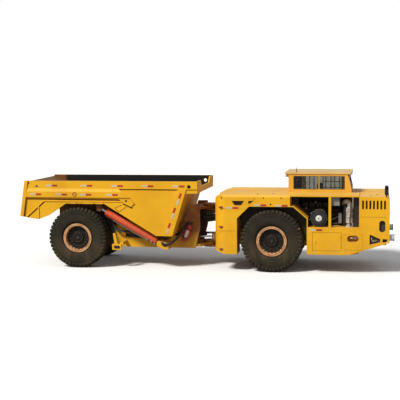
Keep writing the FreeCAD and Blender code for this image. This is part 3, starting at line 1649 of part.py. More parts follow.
# ---------------------------------------------------------------- engine bay
def make_engine_bay():
    keep("engine_block", block(front("engine_back"), front("engine_front"), f"-{ENGINE_OUT}",
                               "cab_low_right - engine_cab_gap", "chassis_front_top", "engine_top"))
    cleaner = rod("Y", "cleaner_radius", "cleaner_out - cleaner_in", front("cleaner_ahead"),
                  "-cleaner_out", "cleaner_up")
    cradle = block(front("cleaner_ahead - cradle_half"), front("cleaner_ahead + cradle_half"),
                   "-cleaner_out + cradle_inset", "-cleaner_in - cradle_inset",
                   "bay_floor", "cleaner_up - cradle_half")
    cap = rod("Y", "cleaner_cap_radius", "cleaner_cap_out", front("cleaner_ahead"),
              "-cleaner_out - cleaner_cap_out", "cleaner_up")
    keep("air_cleaner", fused(cleaner, cradle, cap))
    pipe_side = "-exhaust_out + exhaust_radius"
    pipe = rod("Z", "exhaust_radius", "exhaust_top - bay_floor", front("exhaust_ahead"), pipe_side,
               "bay_floor")
    foot = rod("Z", "flange_out", "flange_tall", front("exhaust_ahead"), pipe_side, "bay_floor")
    riser = rod("Z", "elbow_radius", "elbow_up - exhaust_top", front("exhaust_ahead"), pipe_side,
                "exhaust_top")
    elbow = doc.addObject("Part::Torus", "Elbow")
    elbow.Angle3 = 90
    elbow.Placement = FreeCAD.Placement(FreeCAD.Vector(), FreeCAD.Rotation(FreeCAD.Vector(1, 0, 0), 90))
    elbow.setExpression("Radius1", bound("elbow_bend"))
    elbow.setExpression("Radius2", bound("elbow_radius"))
    place(elbow, front("exhaust_ahead - elbow_bend"), pipe_side, "elbow_up")
    stub = rod("X", "elbow_radius", "exhaust_ahead - elbow_bend - control_box_front",
               front("control_box_front"), pipe_side, "elbow_up + elbow_bend")
    keep("exhaust", fused(pipe, foot, riser, elbow, stub))
    keep("control_box", block(front("control_box_back"), front("control_box_front"), "-control_box_out",
                              f"-{ENGINE_OUT}", "control_box_low", "shell_top - deck_thick"))
    keep("radiator", block(front("radiator_back"), front("radiator_back + radiator_thick"),
                           "-radiator_half_width", "radiator_half_width", "radiator_low", "radiator_top"))


# ---------------------------------------------------------------- cab
def cab_outline(inset):
    """Side view of the cab, drawn in from its outside by a distance."""
    return [
        (front(f"cab_back + {inset}"), f"cab_top - {inset}"),
        (front(f"cab_back + {inset}"), f"cab_step + {inset}"),
        (front(f"cab_knee_back + knee_share * {inset}"), f"cab_step + {inset}"),
        (front(f"cab_foot_back + {inset}"), f"cab_foot_knee + knee_share * {inset}"),
        (front(f"cab_foot_back + {inset}"), f"cab_floor + {inset}"),
        (front(f"cab_front - {inset}"), f"cab_floor + {inset}"),
        (front(f"cab_front - {inset}"), "cab_sill"),
        (front(f"cab_front_top - {inset}"), f"cab_top - {inset}"),
    ]


def cab_upper_outline(inset):
    """Side view of the part of the cab that stands over the engine's deck."""
    return [
        (front(f"cab_back + {inset}"), f"cab_top - {inset}"),
        (front(f"cab_back + {inset}"), f"cab_shelf + {inset}"),
        (front(f"cab_front - {inset}"), f"cab_shelf + {inset}"),
        (front(f"cab_front - {inset}"), "cab_sill"),
        (front(f"cab_front_top - {inset}"), f"cab_top - {inset}"),
    ]


def window(back, ahead, low, high):
    return [
        (front(back), low, "window_round"),
        (front(ahead), low, "window_round"),
        (front(ahead), high, "window_round"),
        (front(back), high, "window_round"),
    ]


def door_outline(inset):
    return [
        (front(f"door_back + {inset}"), f"door_low + {inset}", "door_corner"),
        (front(f"door_front - {inset}"), f"door_low + {inset}", "door_corner"),
        (front(f"door_front - {inset}"), f"door_high - {inset}", "door_corner"),
        (front(f"door_cut_back + {inset}"), f"door_high - {inset}", "door_corner"),
        (front(f"door_cut_back + {inset}"), f"door_cut_up + knee_share * {inset}", "door_knee_round"),
        (front(f"door_back + {inset}"), f"door_knee_up + knee_share * {inset}", "door_knee_round"),
    ]


def door_glass_outline(inset):
    back = front(f"door_cut_back + door_frame + {inset}")
    ahead = front(f"door_front - door_frame - {inset}")
    low = f"door_window_low + {inset}"
    high = f"door_high - door_frame - {inset}"
    corners = ((back, low), (ahead, low), (ahead, high), (back, high))
    return [(across, up, "door_glass_round") for across, up in corners]


def make_cab():
    """A hollow steel cab with windows, a door on the left and a flat roof."""
    body = new_body("cab_shell")
    extrude(body, "XZ", "cab_low_right", CAB_LEFT, [cab_outline("0")])
    extrude(body, "XZ", "-cab_right", "cab_low_right", [cab_upper_outline("0")])
    extrude(body, "XZ", "cab_low_right + cab_skin", f"{CAB_LEFT} - cab_skin", [cab_outline("cab_skin")],
            cut=True)
    extrude(body, "XZ", "-cab_right + cab_skin", "cab_low_right + cab_skin", [cab_upper_outline("cab_skin")],
            cut=True)
    side_windows = [
        window("window_rear_back", "window_rear_front", "window_low", "window_high"),
        window("window_front_back", "window_front_front", "window_low", "window_high"),
    ]
    extrude(body, "XZ", "-cab_right - bore_overrun", "-cab_right + cab_skin + bore_overrun", side_windows,
            cut=True)
    extrude(body, "XZ", f"{CAB_LEFT} - cab_skin - bore_overrun", f"{CAB_LEFT} + bore_overrun",
            [door_outline("0")], cut=True)
    screen = [
        ("-cab_right + screen_border", "cab_sill + screen_rise", "window_round"),
        (f"{CAB_LEFT} - screen_border", "cab_sill + screen_rise", "window_round"),
        (f"{CAB_LEFT} - screen_border", "window_high", "window_round"),
        ("-cab_right + screen_border", "window_high", "window_round"),
    ]
    extrude(body, "YZ", front("cab_front_top - 2 * cab_skin"), front("cab_front + bore_overrun"),
            [screen], cut=True)
    extrude(body, "YZ", front("cab_back - bore_overrun"), front("cab_back + cab_skin + bore_overrun"),
            [screen], cut=True)
    door = new_body("cab_door")
    extrude(door, "XZ", f"{CAB_LEFT} - cab_skin", CAB_LEFT, [door_outline("door_edge_gap")])
    extrude(door, "XZ", f"{CAB_LEFT} - cab_skin", CAB_LEFT, [door_glass_outline("0")], cut=True)
    add_hinges(door, body, front("door_front - 0.5 * door_edge_gap"), CAB_LEFT,
               ("door_low + cab_hinge_inset", "door_high - 2 * cab_hinge_inset"), "cab_knuckle_radius")
    keep("cab_shell", body)
    keep("cab_door", door)
    roof = new_body("cab_roof")
    extrude(roof, "XY", "cab_top", "cab_top + roof_thick", [[
        (front("cab_back - roof_overhang"), "-cab_right - roof_side", "roof_corner"),
        (front("cab_front_top + roof_overhang"), "-cab_right - roof_side", "roof_corner"),
        (front("cab_front_top + roof_overhang"), CAB_LEFT, "roof_corner"),
        (front("cab_back - roof_overhang"), CAB_LEFT, "roof_corner"),
    ]])
    keep("cab_roof", roof)
    pane = new_body("door_glass")
    middle = f"{CAB_LEFT} - 0.5 * cab_skin"
    extrude(pane, "XZ", f"{middle} - glass_thick", middle, [door_glass_outline("0")])
    keep("door_glass", pane)
    panes = new_body("cab_glass")
    middle = "-cab_right + 0.5 * cab_skin"
    extrude(panes, "XZ", middle, f"{middle} + glass_thick", side_windows)
    slope = "((cab_front - cab_front_top) / (cab_top - cab_sill))"
    slab = new_body("ScreenSlab")
    edges = [(up, depth) for depth in ("screen_inset", "(screen_inset + glass_thick)")
             for up in ("cab_sill", "cab_top")]
    corners = [edges[0], edges[1], edges[3], edges[2]]
    extrude(slab, "XZ", "-cab_right", CAB_LEFT, [[
        (front(f"cab_front - ({up} - cab_sill) * {slope} - {depth}"), up) for up, depth in corners
    ]])
    front_glass = new_body("FrontScreen")
    extrude(front_glass, "YZ", front("cab_front_top - 2 * cab_skin"), front("cab_front"), [screen])
    rear_glass = new_body("RearScreen")
    extrude(rear_glass, "YZ", front("cab_back + screen_inset"),
            front("cab_back + screen_inset + glass_thick"), [screen])
    keep("cab_glass", grouped(panes, common(front_glass, slab), rear_glass))


def make_seat():
    """A driver's seat on a pillar, and the console and steering wheel ahead of it."""
    low_x = front("seat_ahead - 0.5 * seat_deep")
    high_x = front("seat_ahead + 0.5 * seat_deep")
    low_y = "seat_side - 0.5 * seat_wide"
    high_y = "seat_side + 0.5 * seat_wide"
    cushion = block(low_x, high_x, low_y, high_y, "seat_up", "seat_up + seat_thick")
    back = block(low_x, f"{low_x} + seat_thick", low_y, high_y, "seat_up + seat_thick",
                 "seat_up + seat_thick + seat_back_high")
    pillar = rod("Z", "seat_pillar", "seat_up - cab_floor - cab_skin", front("seat_ahead"), "seat_side",
                 "cab_floor + cab_skin")
    console = block(front("console_back"), front("console_front"), "seat_side - console_half",
                    "seat_side + console_half", "cab_floor + cab_skin", "console_top")
    column = rod("Z", "column_radius", "wheel_up - console_top", front("console_back + column_radius"),
                 "seat_side", "console_top")
    ring = doc.addObject("Part::Torus", "SteeringWheel")
    ring.setExpression("Radius1", bound("wheel_ring"))
    ring.setExpression("Radius2", bound("wheel_rim"))
    place(ring, front("console_back + column_radius"), "seat_side", "wheel_up")
    spoke = block(front("console_back + column_radius - wheel_rim"),
                  front("console_back + column_radius + wheel_rim"),
                  "seat_side - wheel_ring", "seat_side + wheel_ring", "wheel_up - wheel_rim", "wheel_up")
    controls = fused(console, column, ring, spoke)
    keep("seat", grouped(fused(cushion, back, pillar), controls))


def make_small_pieces():
    mirror = block(front("mirror_ahead"), front("mirror_ahead + mirror_long"),
                   "-mirror_side", "-mirror_side + mirror_wide", "mirror_low", "mirror_high")
    stalk = rod("Z", "mirror_stalk", "mirror_low - nose_top + stalk_overlap",
                front("mirror_ahead + 0.5 * mirror_long"), "-mirror_side + 0.5 * mirror_wide",
                "nose_top")
    antenna = rod("Z", "antenna_radius", "antenna_high", front("antenna_ahead"), "antenna_side",
                  "cab_top + roof_thick")
    keep("mirror_and_antenna", grouped(fused(mirror, stalk), antenna))


def make_left_box():
    """The battery box below the cab, with its outer face flush with the nose."""
    body = new_body("battery_box")
    extrude(body, "XZ", "chassis_half_width", "shell_half_width", [[
        (front("cab_foot_back"), "skirt_low"),
        (front("skirt_turn"), "skirt_low"),
        (front("cab_front"), "skirt_low + battery_rise"),
        (front("cab_front"), "cab_floor"),
        (front("cab_foot_back"), "cab_floor"),
    ]])
    keep("battery_box", body)


def make_drive_shafts():
    """The propeller shaft, in two lengths that meet at the hinge's joint."""
    joint = "hinge_shaft_gap"
    long = rod("X", "shaft_radius", f"{HINGE} - {joint} - ({rear('diff_radius')})", rear("diff_radius"), "0",
               "tyre_radius")
    keep("drive_shaft_rear", long)
    short = rod("X", "shaft_radius", f"bulkhead_ahead_of_hinge - {joint}", hinge(joint), "0", "tyre_radius")
    keep("drive_shaft_front", short)


def check_document():
    """Stops if an object failed, a cut took nothing away, or a sub-part isn't sound."""
    for item in doc.Objects:
        if "Invalid" in item.State or "Error" in item.State:
            raise RuntimeError(f"{item.Name} is {item.State}")
    for feature in cuts:
        if feature.Shape.Volume >= feature.BaseFeature.Shape.Volume - 1:
            raise RuntimeError(f"{feature.Name} cuts nothing")
    for label, item in nodes.items():
        if item.Shape.isNull() or not item.Shape.isValid():
            raise RuntimeError(f"{label} isn't a sound shape")


make_wheels()
make_axle("rear_axle", REAR_AXLE, "frame_half_width - frame_plate", "frame_half_width", "frame_over_axle")
make_axle("front_axle", FRONT_AXLE, "chassis_half_width - chassis_plate", "chassis_half_width",
          "chassis_axle_low")
make_rear_frame()
make_side_brackets()
make_extinguisher()
make_hoist_cylinders()
make_steering_cylinders()
make_box_floor()
make_box_front()
make_box_sides()
make_front_frame()
make_fenders()
make_rear_hood()
make_wheel_arch()
make_nose_sides()
make_locker()
make_decks()
make_nose_face()
make_engine_bay()
make_cab()
make_seat()
make_small_pieces()
make_left_box()
make_drive_shafts()
doc.recompute()
check_document()

os.makedirs("parts", exist_ok=True)
for label, item in nodes.items():
    item.Shape.exportStep(f"parts/{label}.step")
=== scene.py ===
import json
import math

import bmesh
import bpy
from mathutils import Matrix, Vector


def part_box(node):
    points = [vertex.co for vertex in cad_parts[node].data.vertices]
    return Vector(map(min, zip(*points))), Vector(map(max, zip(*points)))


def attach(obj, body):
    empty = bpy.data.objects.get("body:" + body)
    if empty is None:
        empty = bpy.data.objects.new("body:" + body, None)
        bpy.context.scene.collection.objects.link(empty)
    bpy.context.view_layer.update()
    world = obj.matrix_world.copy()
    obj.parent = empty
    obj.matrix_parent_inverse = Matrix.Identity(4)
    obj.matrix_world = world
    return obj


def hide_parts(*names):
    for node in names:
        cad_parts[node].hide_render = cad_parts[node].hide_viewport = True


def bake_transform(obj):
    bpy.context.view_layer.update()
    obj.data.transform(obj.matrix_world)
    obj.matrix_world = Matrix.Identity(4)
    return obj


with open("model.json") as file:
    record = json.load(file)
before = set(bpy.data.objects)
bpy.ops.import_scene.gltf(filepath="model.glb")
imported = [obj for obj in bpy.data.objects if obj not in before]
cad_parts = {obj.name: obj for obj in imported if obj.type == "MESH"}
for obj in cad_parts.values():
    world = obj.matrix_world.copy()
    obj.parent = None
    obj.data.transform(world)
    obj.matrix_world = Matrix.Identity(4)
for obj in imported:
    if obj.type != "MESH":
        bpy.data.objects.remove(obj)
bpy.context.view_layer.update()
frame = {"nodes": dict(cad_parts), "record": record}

# Underground mining truck: finishes, road tread, bolts, tapes, hoses and the studio.
# Metres, in the frame of the CAD model: +X is forwards, +Y is the left side, +Z is up.

SIDES = {"right": -1, "left": 1}
ENDS = ("rear", "front")
AHEAD = Vector((1, 0, 0))
LEFT = Vector((0, 1, 0))
UP = Vector((0, 0, 1))


def low(node):
    return Vector(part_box(node)[0])


def high(node):
    return Vector(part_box(node)[1])


def centre(node):
    return (low(node) + high(node)) / 2


REAR_AXLE = centre("tyre_rear_right").x
FRONT_AXLE = centre("tyre_front_right").x
TYRE_RADIUS = centre("tyre_rear_right").z
HINGE = REAR_AXLE + 3.130
PLATE_FACE = high("box_side_left").y
RAIL_FACE = PLATE_FACE + 0.025
BAND_FACE = RAIL_FACE + 0.025
SHELL_FACE = high("fender_left").y
BOX_TOP = high("box_side_left").z
BOX_TAIL = low("box_side_left").x
SHELL_TOP = high("hood_rear").z
SHELL_BACK = low("fender_right").x


def from_rear(x, y, z):
    """A place whose X is counted from the rear axle."""
    return Vector((REAR_AXLE + x, y, z))


def from_front(x, y, z):
    """A place whose X is counted from the front axle."""
    return Vector((FRONT_AXLE + x, y, z))


# ---- Materials

PAINT = (0.84, 0.435, 0.008)
PAINT_SHADE = (0.75, 0.370, 0.006)
DUST = (0.40, 0.26, 0.13)
# Pale dust, and painted sheen from the sky, on faces that look up.
PALE_DUST_AND_SHEEN = (0.62, 0.50, 0.34)
# Brown for the rear frame's neck, where it is painted shade with dirt, and for the hinge ears.
HINGE_BROWN = (0.27, 0.088, 0.022)
# Near-black painted shade: beside the rear wheels and inside the cab's walls.
PAINTED_SHADE_BLACK = (0.030, 0.027, 0.022)
LOAD_BLACK = (0.006, 0.005, 0.004)
# Yellow in painted shade, inside the box near its tail.
TAIL_PAINTED_SHADE = (0.17, 0.066, 0.012)
TAIL_DARK = BOX_TAIL + 0.50
BARE_STEEL = (0.32, 0.29, 0.26)


def scaled(colour, share):
    return tuple(share * part for part in colour)


class Nodes:
    """A material's node tree, with a short way to add a node and link it."""

    def __init__(self, name):
        self.material = bpy.data.materials.new(name)
        self.material.use_nodes = True
        self.tree = self.material.node_tree
        self.tree.nodes.clear()
        self.output = self.add("OutputMaterial")
        self.shader = self.add("BsdfPrincipled")
        self.link(self.shader, "BSDF", self.output, "Surface")
        self.place = self.add("TexCoord").outputs["Object"]

    def add(self, kind, **settings):
        node = self.tree.nodes.new("ShaderNode" + kind)
        for key, setting in settings.items():
            setattr(node, key, setting)
        return node

    def link(self, source, output, target, socket):
        self.tree.links.new(source.outputs[output], target.inputs[socket])

    def join(self, output, target, socket):
        self.tree.links.new(output, target.inputs[socket])

    def shade(self, socket, output):
        """Drives one of the shader's sockets."""
        self.join(output, self.shader, socket)

    def uniform(self, **values):
        """Uniform values, set on the shader's own sockets."""
        for socket, value in values.items():
            self.shader.inputs[socket.replace("_", " ")].default_value = value

    def noise(self, scale, detail=4.0, roughness=0.55, stretch=(1, 1, 1)):
        """Noise in the piece's own coordinates, from 0 to 1."""
        spread = self.add("Mapping")
        spread.inputs["Scale"].default_value = stretch
        self.join(self.place, spread, "Vector")
        node = self.add("TexNoise")
        node.inputs["Scale"].default_value = scale
        node.inputs["Detail"].default_value = detail
        node.inputs["Roughness"].default_value = roughness
        self.link(spread, "Vector", node, "Vector")
        return node.outputs["Fac"]

    def wave(self, scale, direction, distortion=0.0):
        """Straight bands across one of the piece's own axes."""
        node = self.add("TexWave", bands_direction=direction)
        node.inputs["Scale"].default_value = scale
        node.inputs["Distortion"].default_value = distortion
        self.join(self.place, node, "Vector")
        return node.outputs["Fac"]

    def ramp(self, value, start, end, first=0.0, last=1.0):
        """A smooth step of a value, between start and end."""
        node = self.add("MapRange", interpolation_type="SMOOTHSTEP")
        self.join(value, node, "Value")
        node.inputs["From Min"].default_value = start
        node.inputs["From Max"].default_value = end
        node.inputs["To Min"].default_value = first
        node.inputs["To Max"].default_value = last
        return node.outputs["Result"]

    def combine(self, operation, first, second=0.0, clamp=True):
        """Two values combined, each a number or an output."""
        node = self.add("Math", operation=operation, use_clamp=clamp)
        for index, item in enumerate((first, second)):
            if isinstance(item, (int, float)):
                node.inputs[index].default_value = item
            else:
                self.join(item, node, index)
        return node.outputs[0]

    def times(self, first, second):
        return self.combine("MULTIPLY", first, second)

    def mix(self, share, first, second):
        """A colour between two others, each a colour or an output."""
        node = self.add("Mix", data_type="RGBA")
        self.join(share, node, "Factor")
        for socket, item in ((6, first), (7, second)):
            if isinstance(item, tuple):
                node.inputs[socket].default_value = (*item, 1)
            else:
                self.join(item, node, socket)
        return node.outputs[2]

    def axis(self, index):
        """The place along an axis of the frame."""
        node = self.add("SeparateXYZ")
        self.join(self.place, node, "Vector")
        return node.outputs[index]

    def facing(self, index):
        """How far the surface faces along an axis of the frame."""
        node = self.add("SeparateXYZ")
        self.link(self.add("NewGeometry"), "Normal", node, "Vector")
        return node.outputs[index]

    def edges(self, radius):
        """(a mask that is 1 on sharp edges, the normal with those edges rounded)."""
        bevel = self.add("Bevel", samples=4)
        bevel.inputs["Radius"].default_value = radius
        dot = self.add("VectorMath", operation="DOT_PRODUCT")
        self.link(bevel, "Normal", dot, 0)
        self.link(self.add("NewGeometry"), "Normal", dot, 1)
        return self.ramp(dot.outputs["Value"], 0.995, 0.86), bevel.outputs["Normal"]

    def relief(self, height, distance, normal=None, strength=1.0):
        """Fine relief on the shader's normal."""
        bump = self.add("Bump")
        bump.inputs["Strength"].default_value = strength
        bump.inputs["Distance"].default_value = distance
        self.join(height, bump, "Height")
        if normal:
            self.join(normal, bump, "Normal")
        self.link(bump, "Normal", self.shader, "Normal")


def finish(name, colour, shade, rough=(0.4, 0.6), metallic=0.0, coat=0.0, mottle=1.3, grain=70.0,
           relief=0.0006, dust=0.0, wear=0.0, worn=BARE_STEEL, edge=0.004, inside=None,
           film=None, film_colour=LOAD_BLACK, oil=None, specular=0.5):
    """A procedural finish: mottled colour, fine relief, dust low down, dust and painted sheen on
    top, worn edges.
    """
    nodes = Nodes(name)
    broad = nodes.noise(mottle)
    fine = nodes.noise(grain, detail=6.0)
    base = nodes.mix(nodes.ramp(broad, 0.35, 0.68), colour, shade)
    sharp, rounded = nodes.edges(edge)
    if inside:
        base = nodes.mix(inside(nodes), base, blackened(nodes))
    if film:
        base = nodes.mix(film(nodes), base, film_colour)
    # The oil mask lays near-black painted shade, with oil, on the colour.
    if oil:
        base = nodes.mix(oil(nodes), base, PAINTED_SHADE_BLACK)
    if dust:
        base = dusty(nodes, base, dust)
    if wear:
        chips = nodes.times(sharp, nodes.ramp(fine, 0.5, 0.62))
        base = nodes.mix(nodes.times(chips, wear), base, worn)
    nodes.shade("Base Color", base)
    nodes.shade("Roughness", nodes.ramp(fine, 0.25, 0.8, *rough))
    nodes.uniform(Metallic=metallic, Specular_IOR_Level=specular,
                  Coat_Weight=coat, Coat_Roughness=0.12)
    nodes.relief(fine, relief, rounded, strength=0.6)
    return nodes.material


def dusty(nodes, base, dust):
    """A colour with streaks of dust near the ground, and pale dust and painted sheen on what faces
    up.
    """
    streaks = nodes.ramp(nodes.noise(5.0, stretch=(1, 1, 0.35)), 0.35, 0.7)
    near_ground = nodes.times(nodes.ramp(nodes.axis(2), 1.1, 0.35), streaks)
    pale_patches = nodes.ramp(nodes.noise(9.0), 0.35, 0.75)
    # Paler on faces that look up: dust, and painted sheen from the sky.
    on_top = nodes.times(nodes.ramp(nodes.facing(2), 0.6, 0.98), pale_patches)
    base = nodes.mix(nodes.times(near_ground, dust), base, DUST)
    return nodes.mix(nodes.times(on_top, min(1.0, 2.2 * dust)), base, PALE_DUST_AND_SHEEN)


def rim_finish(name, axle):
    """Dusty tan paint on the rim, dark oily metal on the hub inside it."""
    hub_edge, groove_start, groove_end, lip_start = 0.284, 0.318, 0.330, 0.356
    nodes = Nodes(name)
    across = nodes.add("CombineXYZ")
    nodes.join(nodes.axis(0), across, "X")
    nodes.join(nodes.axis(2), across, "Z")
    away = nodes.add("VectorMath", operation="DISTANCE")
    nodes.link(across, "Vector", away, 0)
    away.inputs[1].default_value = (axle, 0, TYRE_RADIUS)
    radius = away.outputs["Value"]
    fine = nodes.noise(60.0, detail=6.0)
    tan = nodes.mix(nodes.ramp(nodes.noise(7.0), 0.4, 0.62), (0.72, 0.40, 0.19), (0.50, 0.24, 0.10))
    oil = nodes.mix(nodes.ramp(fine, 0.42, 0.62), LOAD_BLACK, (0.016, 0.013, 0.010))
    hub = nodes.mix(nodes.ramp(nodes.noise(34.0), 0.62, 0.68), oil, (0.15, 0.06, 0.03))
    groove = nodes.times(nodes.ramp(radius, groove_start, groove_start + 0.004),
                         nodes.ramp(radius, groove_end + 0.004, groove_end))
    ring = nodes.mix(groove, tan, (0.20, 0.08, 0.035))
    lip = nodes.mix(nodes.ramp(radius, lip_start, lip_start + 0.004), ring, (0.030, 0.023, 0.013))
    nodes.shade("Base Color", nodes.mix(nodes.ramp(radius, hub_edge, hub_edge + 0.006), hub, lip))
    nodes.shade("Roughness", nodes.ramp(fine, 0.3, 0.8, 0.45, 0.7))
    nodes.uniform(Specular_IOR_Level=0.25)
    nodes.relief(fine, 0.001, nodes.edges(0.005)[1])
    return nodes.material


def glass(name, tint):
    """Clear glass with upright smears."""
    nodes = Nodes(name)
    smears = nodes.noise(14.0, stretch=(1, 1, 0.3))
    nodes.shade("Base Color", nodes.mix(nodes.ramp(smears, 0.35, 0.7), tint, scaled(tint, 0.8)))
    nodes.shade("Roughness", nodes.ramp(smears, 0.4, 0.7, 0.03, 0.16))
    nodes.uniform(Transmission_Weight=1.0, IOR=1.45)
    return nodes.material


def woven(name, colour):
    """Coarse woven fabric with a soft sheen."""
    nodes = Nodes(name)
    weave = nodes.times(nodes.wave(160.0, "X", 1.5), nodes.wave(160.0, "Z", 1.5))
    nodes.shade("Base Color", nodes.mix(weave, colour, scaled(colour, 2.2)))
    nodes.uniform(Roughness=0.9, Sheen_Weight=0.3)
    nodes.relief(weave, 0.001)
    return nodes.material


def finned(name, colour, pitch):
    """A radiator core: fine upright fins."""
    nodes = Nodes(name)
    fins = nodes.wave(1 / pitch, "Y")
    nodes.shade("Base Color", nodes.mix(fins, scaled(colour, 0.2), colour))
    nodes.uniform(Metallic=0.5, Roughness=0.5)
    nodes.relief(fins, 0.004)
    return nodes.material


def blackened(nodes):
    """The colour inside the box: black from the load, and brown painted shade near its tail."""
    uneven = nodes.ramp(nodes.noise(3.0), 0.3, 0.7, 0.0, 0.10)
    ragged = nodes.combine("ADD", nodes.axis(0), uneven, clamp=False)
    return nodes.mix(nodes.ramp(ragged, TAIL_DARK, TAIL_DARK + 0.12), TAIL_PAINTED_SHADE, LOAD_BLACK)


def uneven_patches(nodes):
    return nodes.ramp(nodes.noise(4.0), 0.25, 0.6, 0.70, 1.0)


def neck_shade_and_dirt(nodes):
    """Brown painted shade from the box, with dirt, on the rear frame's neck, thicker higher up."""
    along = nodes.ramp(nodes.axis(0), REAR_AXLE + 2.30, REAR_AXLE + 2.48)
    upper = nodes.ramp(nodes.axis(2), 0.62, 0.95, 0.35, 1.0)
    return nodes.times(nodes.times(along, upper), uneven_patches(nodes))


def shaded_arch(nodes):
    """Black painted shade, with oil, on the rear frame beside the rear wheels."""
    high_up = nodes.times(nodes.ramp(nodes.axis(2), 1.00, 1.14),
                          nodes.ramp(nodes.axis(0), REAR_AXLE + 1.25, REAR_AXLE + 1.00))
    beside = nodes.ramp(nodes.axis(0), REAR_AXLE + 0.90, REAR_AXLE + 0.80)
    return nodes.combine("ADD", high_up, beside)


def brown_ears(nodes):
    """Patchy brown on the tractor's hinge ears, behind its rear wall."""
    behind = nodes.ramp(nodes.axis(0), FRONT_AXLE - 1.36, FRONT_AXLE - 1.40)
    return nodes.times(behind, uneven_patches(nodes))


def between(nodes, index, start, end):
    """What lies between two places along an axis, with soft ends."""
    return nodes.times(nodes.ramp(nodes.axis(index), start, start + 0.004),
                       nodes.ramp(nodes.axis(index), end, end - 0.004))


def cab_inside_shade(nodes):
    """Painted shade on what lies inside the cab's walls."""
    first, last = low("cab_shell"), high("cab_shell")
    across = between(nodes, 1, first.y + 0.012, last.y - 0.040)
    return nodes.times(across, between(nodes, 0, first.x + 0.012, last.x - 0.040))


# Patchy painted shade over nearly all of the subframe, which lies under the box.
def patchy_shade_all_over(nodes):
    return nodes.ramp(nodes.noise(3.5), 0.25, 0.6, 0.70, 0.95)


def inside_walls(nodes):
    depth = nodes.combine("ABSOLUTE", nodes.axis(1), clamp=False)
    return nodes.ramp(depth, PLATE_FACE - 0.008, PLATE_FACE - 0.014)


def inside_floor(nodes):
    return nodes.ramp(nodes.facing(2), 0.1, 0.3)


def inside_front(nodes):
    return nodes.ramp(nodes.facing(0), -0.05, -0.3)


yellow = dict(colour=PAINT, shade=PAINT_SHADE, rough=(0.42, 0.6), coat=0.05, dust=0.22, wear=0.35,
              worn=(0.30, 0.15, 0.05), specular=0.35)
box_yellow = {**yellow, "dust": 0.06}
cab_yellow = {**yellow, "colour": (0.74, 0.405, 0.040), "shade": (0.66, 0.345, 0.032), "dust": 0.35}
# Paler yellow on the roof: dust, and painted sheen from the sky on its top.
roof_dust_and_sheen_yellow = {**cab_yellow, "colour": (0.70, 0.46, 0.16), "shade": (0.60, 0.38, 0.12)}
MATERIALS = {
    "truck_yellow": finish("truck_yellow", **yellow),
    "tyre_rubber": finish("tyre_rubber", (0.030, 0.023, 0.013), (0.019, 0.017, 0.010), (0.75, 0.95),
                          mottle=5.0, grain=110.0, relief=0.0015, dust=0.10, wear=0.5,
                          worn=(0.075, 0.058, 0.036), specular=0.25),
    "cylinder_red": finish("cylinder_red", (0.72, 0.105, 0.035), (0.60, 0.085, 0.03), (0.3, 0.5),
                           coat=0.3, dust=0.25, wear=0.5, worn=(0.25, 0.1, 0.06)),
    "rod_chrome": finish("rod_chrome", (0.72, 0.71, 0.70), (0.62, 0.61, 0.60), (0.08, 0.2),
                         metallic=1.0, relief=0.0001, edge=0.001),
    "frame_dark": finish("frame_dark", (0.045, 0.038, 0.030), (0.03, 0.026, 0.022), (0.5, 0.75),
                         dust=0.3, wear=0.4),
    "cast_dark": finish("cast_dark", (0.030, 0.027, 0.024), (0.018, 0.016, 0.014), (0.45, 0.7),
                        metallic=0.3, mottle=6.0, relief=0.002, dust=0.2, wear=0.3),
    "steel_pipe": finish("steel_pipe", (0.50, 0.49, 0.47), (0.38, 0.35, 0.31), (0.25, 0.45),
                         metallic=0.9, mottle=8.0, relief=0.0004, dust=0.1),
    "black_plastic": finish("black_plastic", (0.016, 0.016, 0.017), (0.024, 0.023, 0.022),
                            (0.35, 0.55), relief=0.0004, dust=0.15, edge=0.003),
    "window_glass": glass("window_glass", (0.80, 0.82, 0.78)),
    "lamp_glass": finish("lamp_glass", (0.78, 0.79, 0.80), (0.62, 0.63, 0.66), (0.05, 0.15),
                         coat=0.8, mottle=30.0, edge=0.006),
    "seat_fabric": woven("seat_fabric", (0.030, 0.030, 0.034)),
    "radiator_core": finned("radiator_core", (0.10, 0.10, 0.10), 0.012),
    "bottle_red": finish("bottle_red", (0.55, 0.020, 0.015), (0.42, 0.016, 0.012), (0.2, 0.35),
                         coat=0.6, dust=0.2),
}
GREY_BOX = finish("grey_box", (0.30, 0.30, 0.29), (0.22, 0.21, 0.20), (0.4, 0.6), dust=0.1)
box_walls = finish("box_walls", inside=inside_walls, **box_yellow)
NODE_FINISHES = {
    "box_side_left": box_walls,
    "box_side_right": box_walls,
    "box_floor": finish("box_floor_paint", inside=inside_floor, **box_yellow),
    "box_front": finish("box_front_paint", inside=inside_front, **box_yellow),
    # Box subframe: dark brown painted shade over most of it.
    "box_subframe": finish("under_box_painted_shade", film=patchy_shade_all_over, film_colour=(0.13, 0.040, 0.012),
                           **yellow),
    # Rear frame: painted shade with dirt on its neck, painted shade with oil beside the rear
    # wheels.
    "rear_frame": finish("neck_shade_and_dirt_paint", film=neck_shade_and_dirt, film_colour=HINGE_BROWN, oil=shaded_arch,
                         **yellow),
    "front_frame": finish("ear_paint", film=brown_ears, film_colour=HINGE_BROWN, **yellow),
    # Cab: near-black painted shade on the inner faces of its walls.
    "cab_shell": finish("cab_paint", film=cab_inside_shade, film_colour=PAINTED_SHADE_BLACK, **cab_yellow),
    "cab_roof": finish("roof_dust_and_sheen_paint", **roof_dust_and_sheen_yellow),
    "control_box": GREY_BOX,
}
RED_TAPE = finish("red_tape", (0.50, 0.040, 0.018), (0.36, 0.030, 0.014), (0.3, 0.45), coat=0.3,
                  grain=260.0, dust=0.15)
WHITE_TAPE = finish("white_tape", (0.60, 0.54, 0.38), (0.50, 0.43, 0.28), (0.3, 0.45), coat=0.2,
                    grain=260.0, dust=0.15)
WHITE_DISC = finish("white_disc", (0.80, 0.79, 0.76), (0.66, 0.64, 0.60), (0.3, 0.5), mottle=12.0)
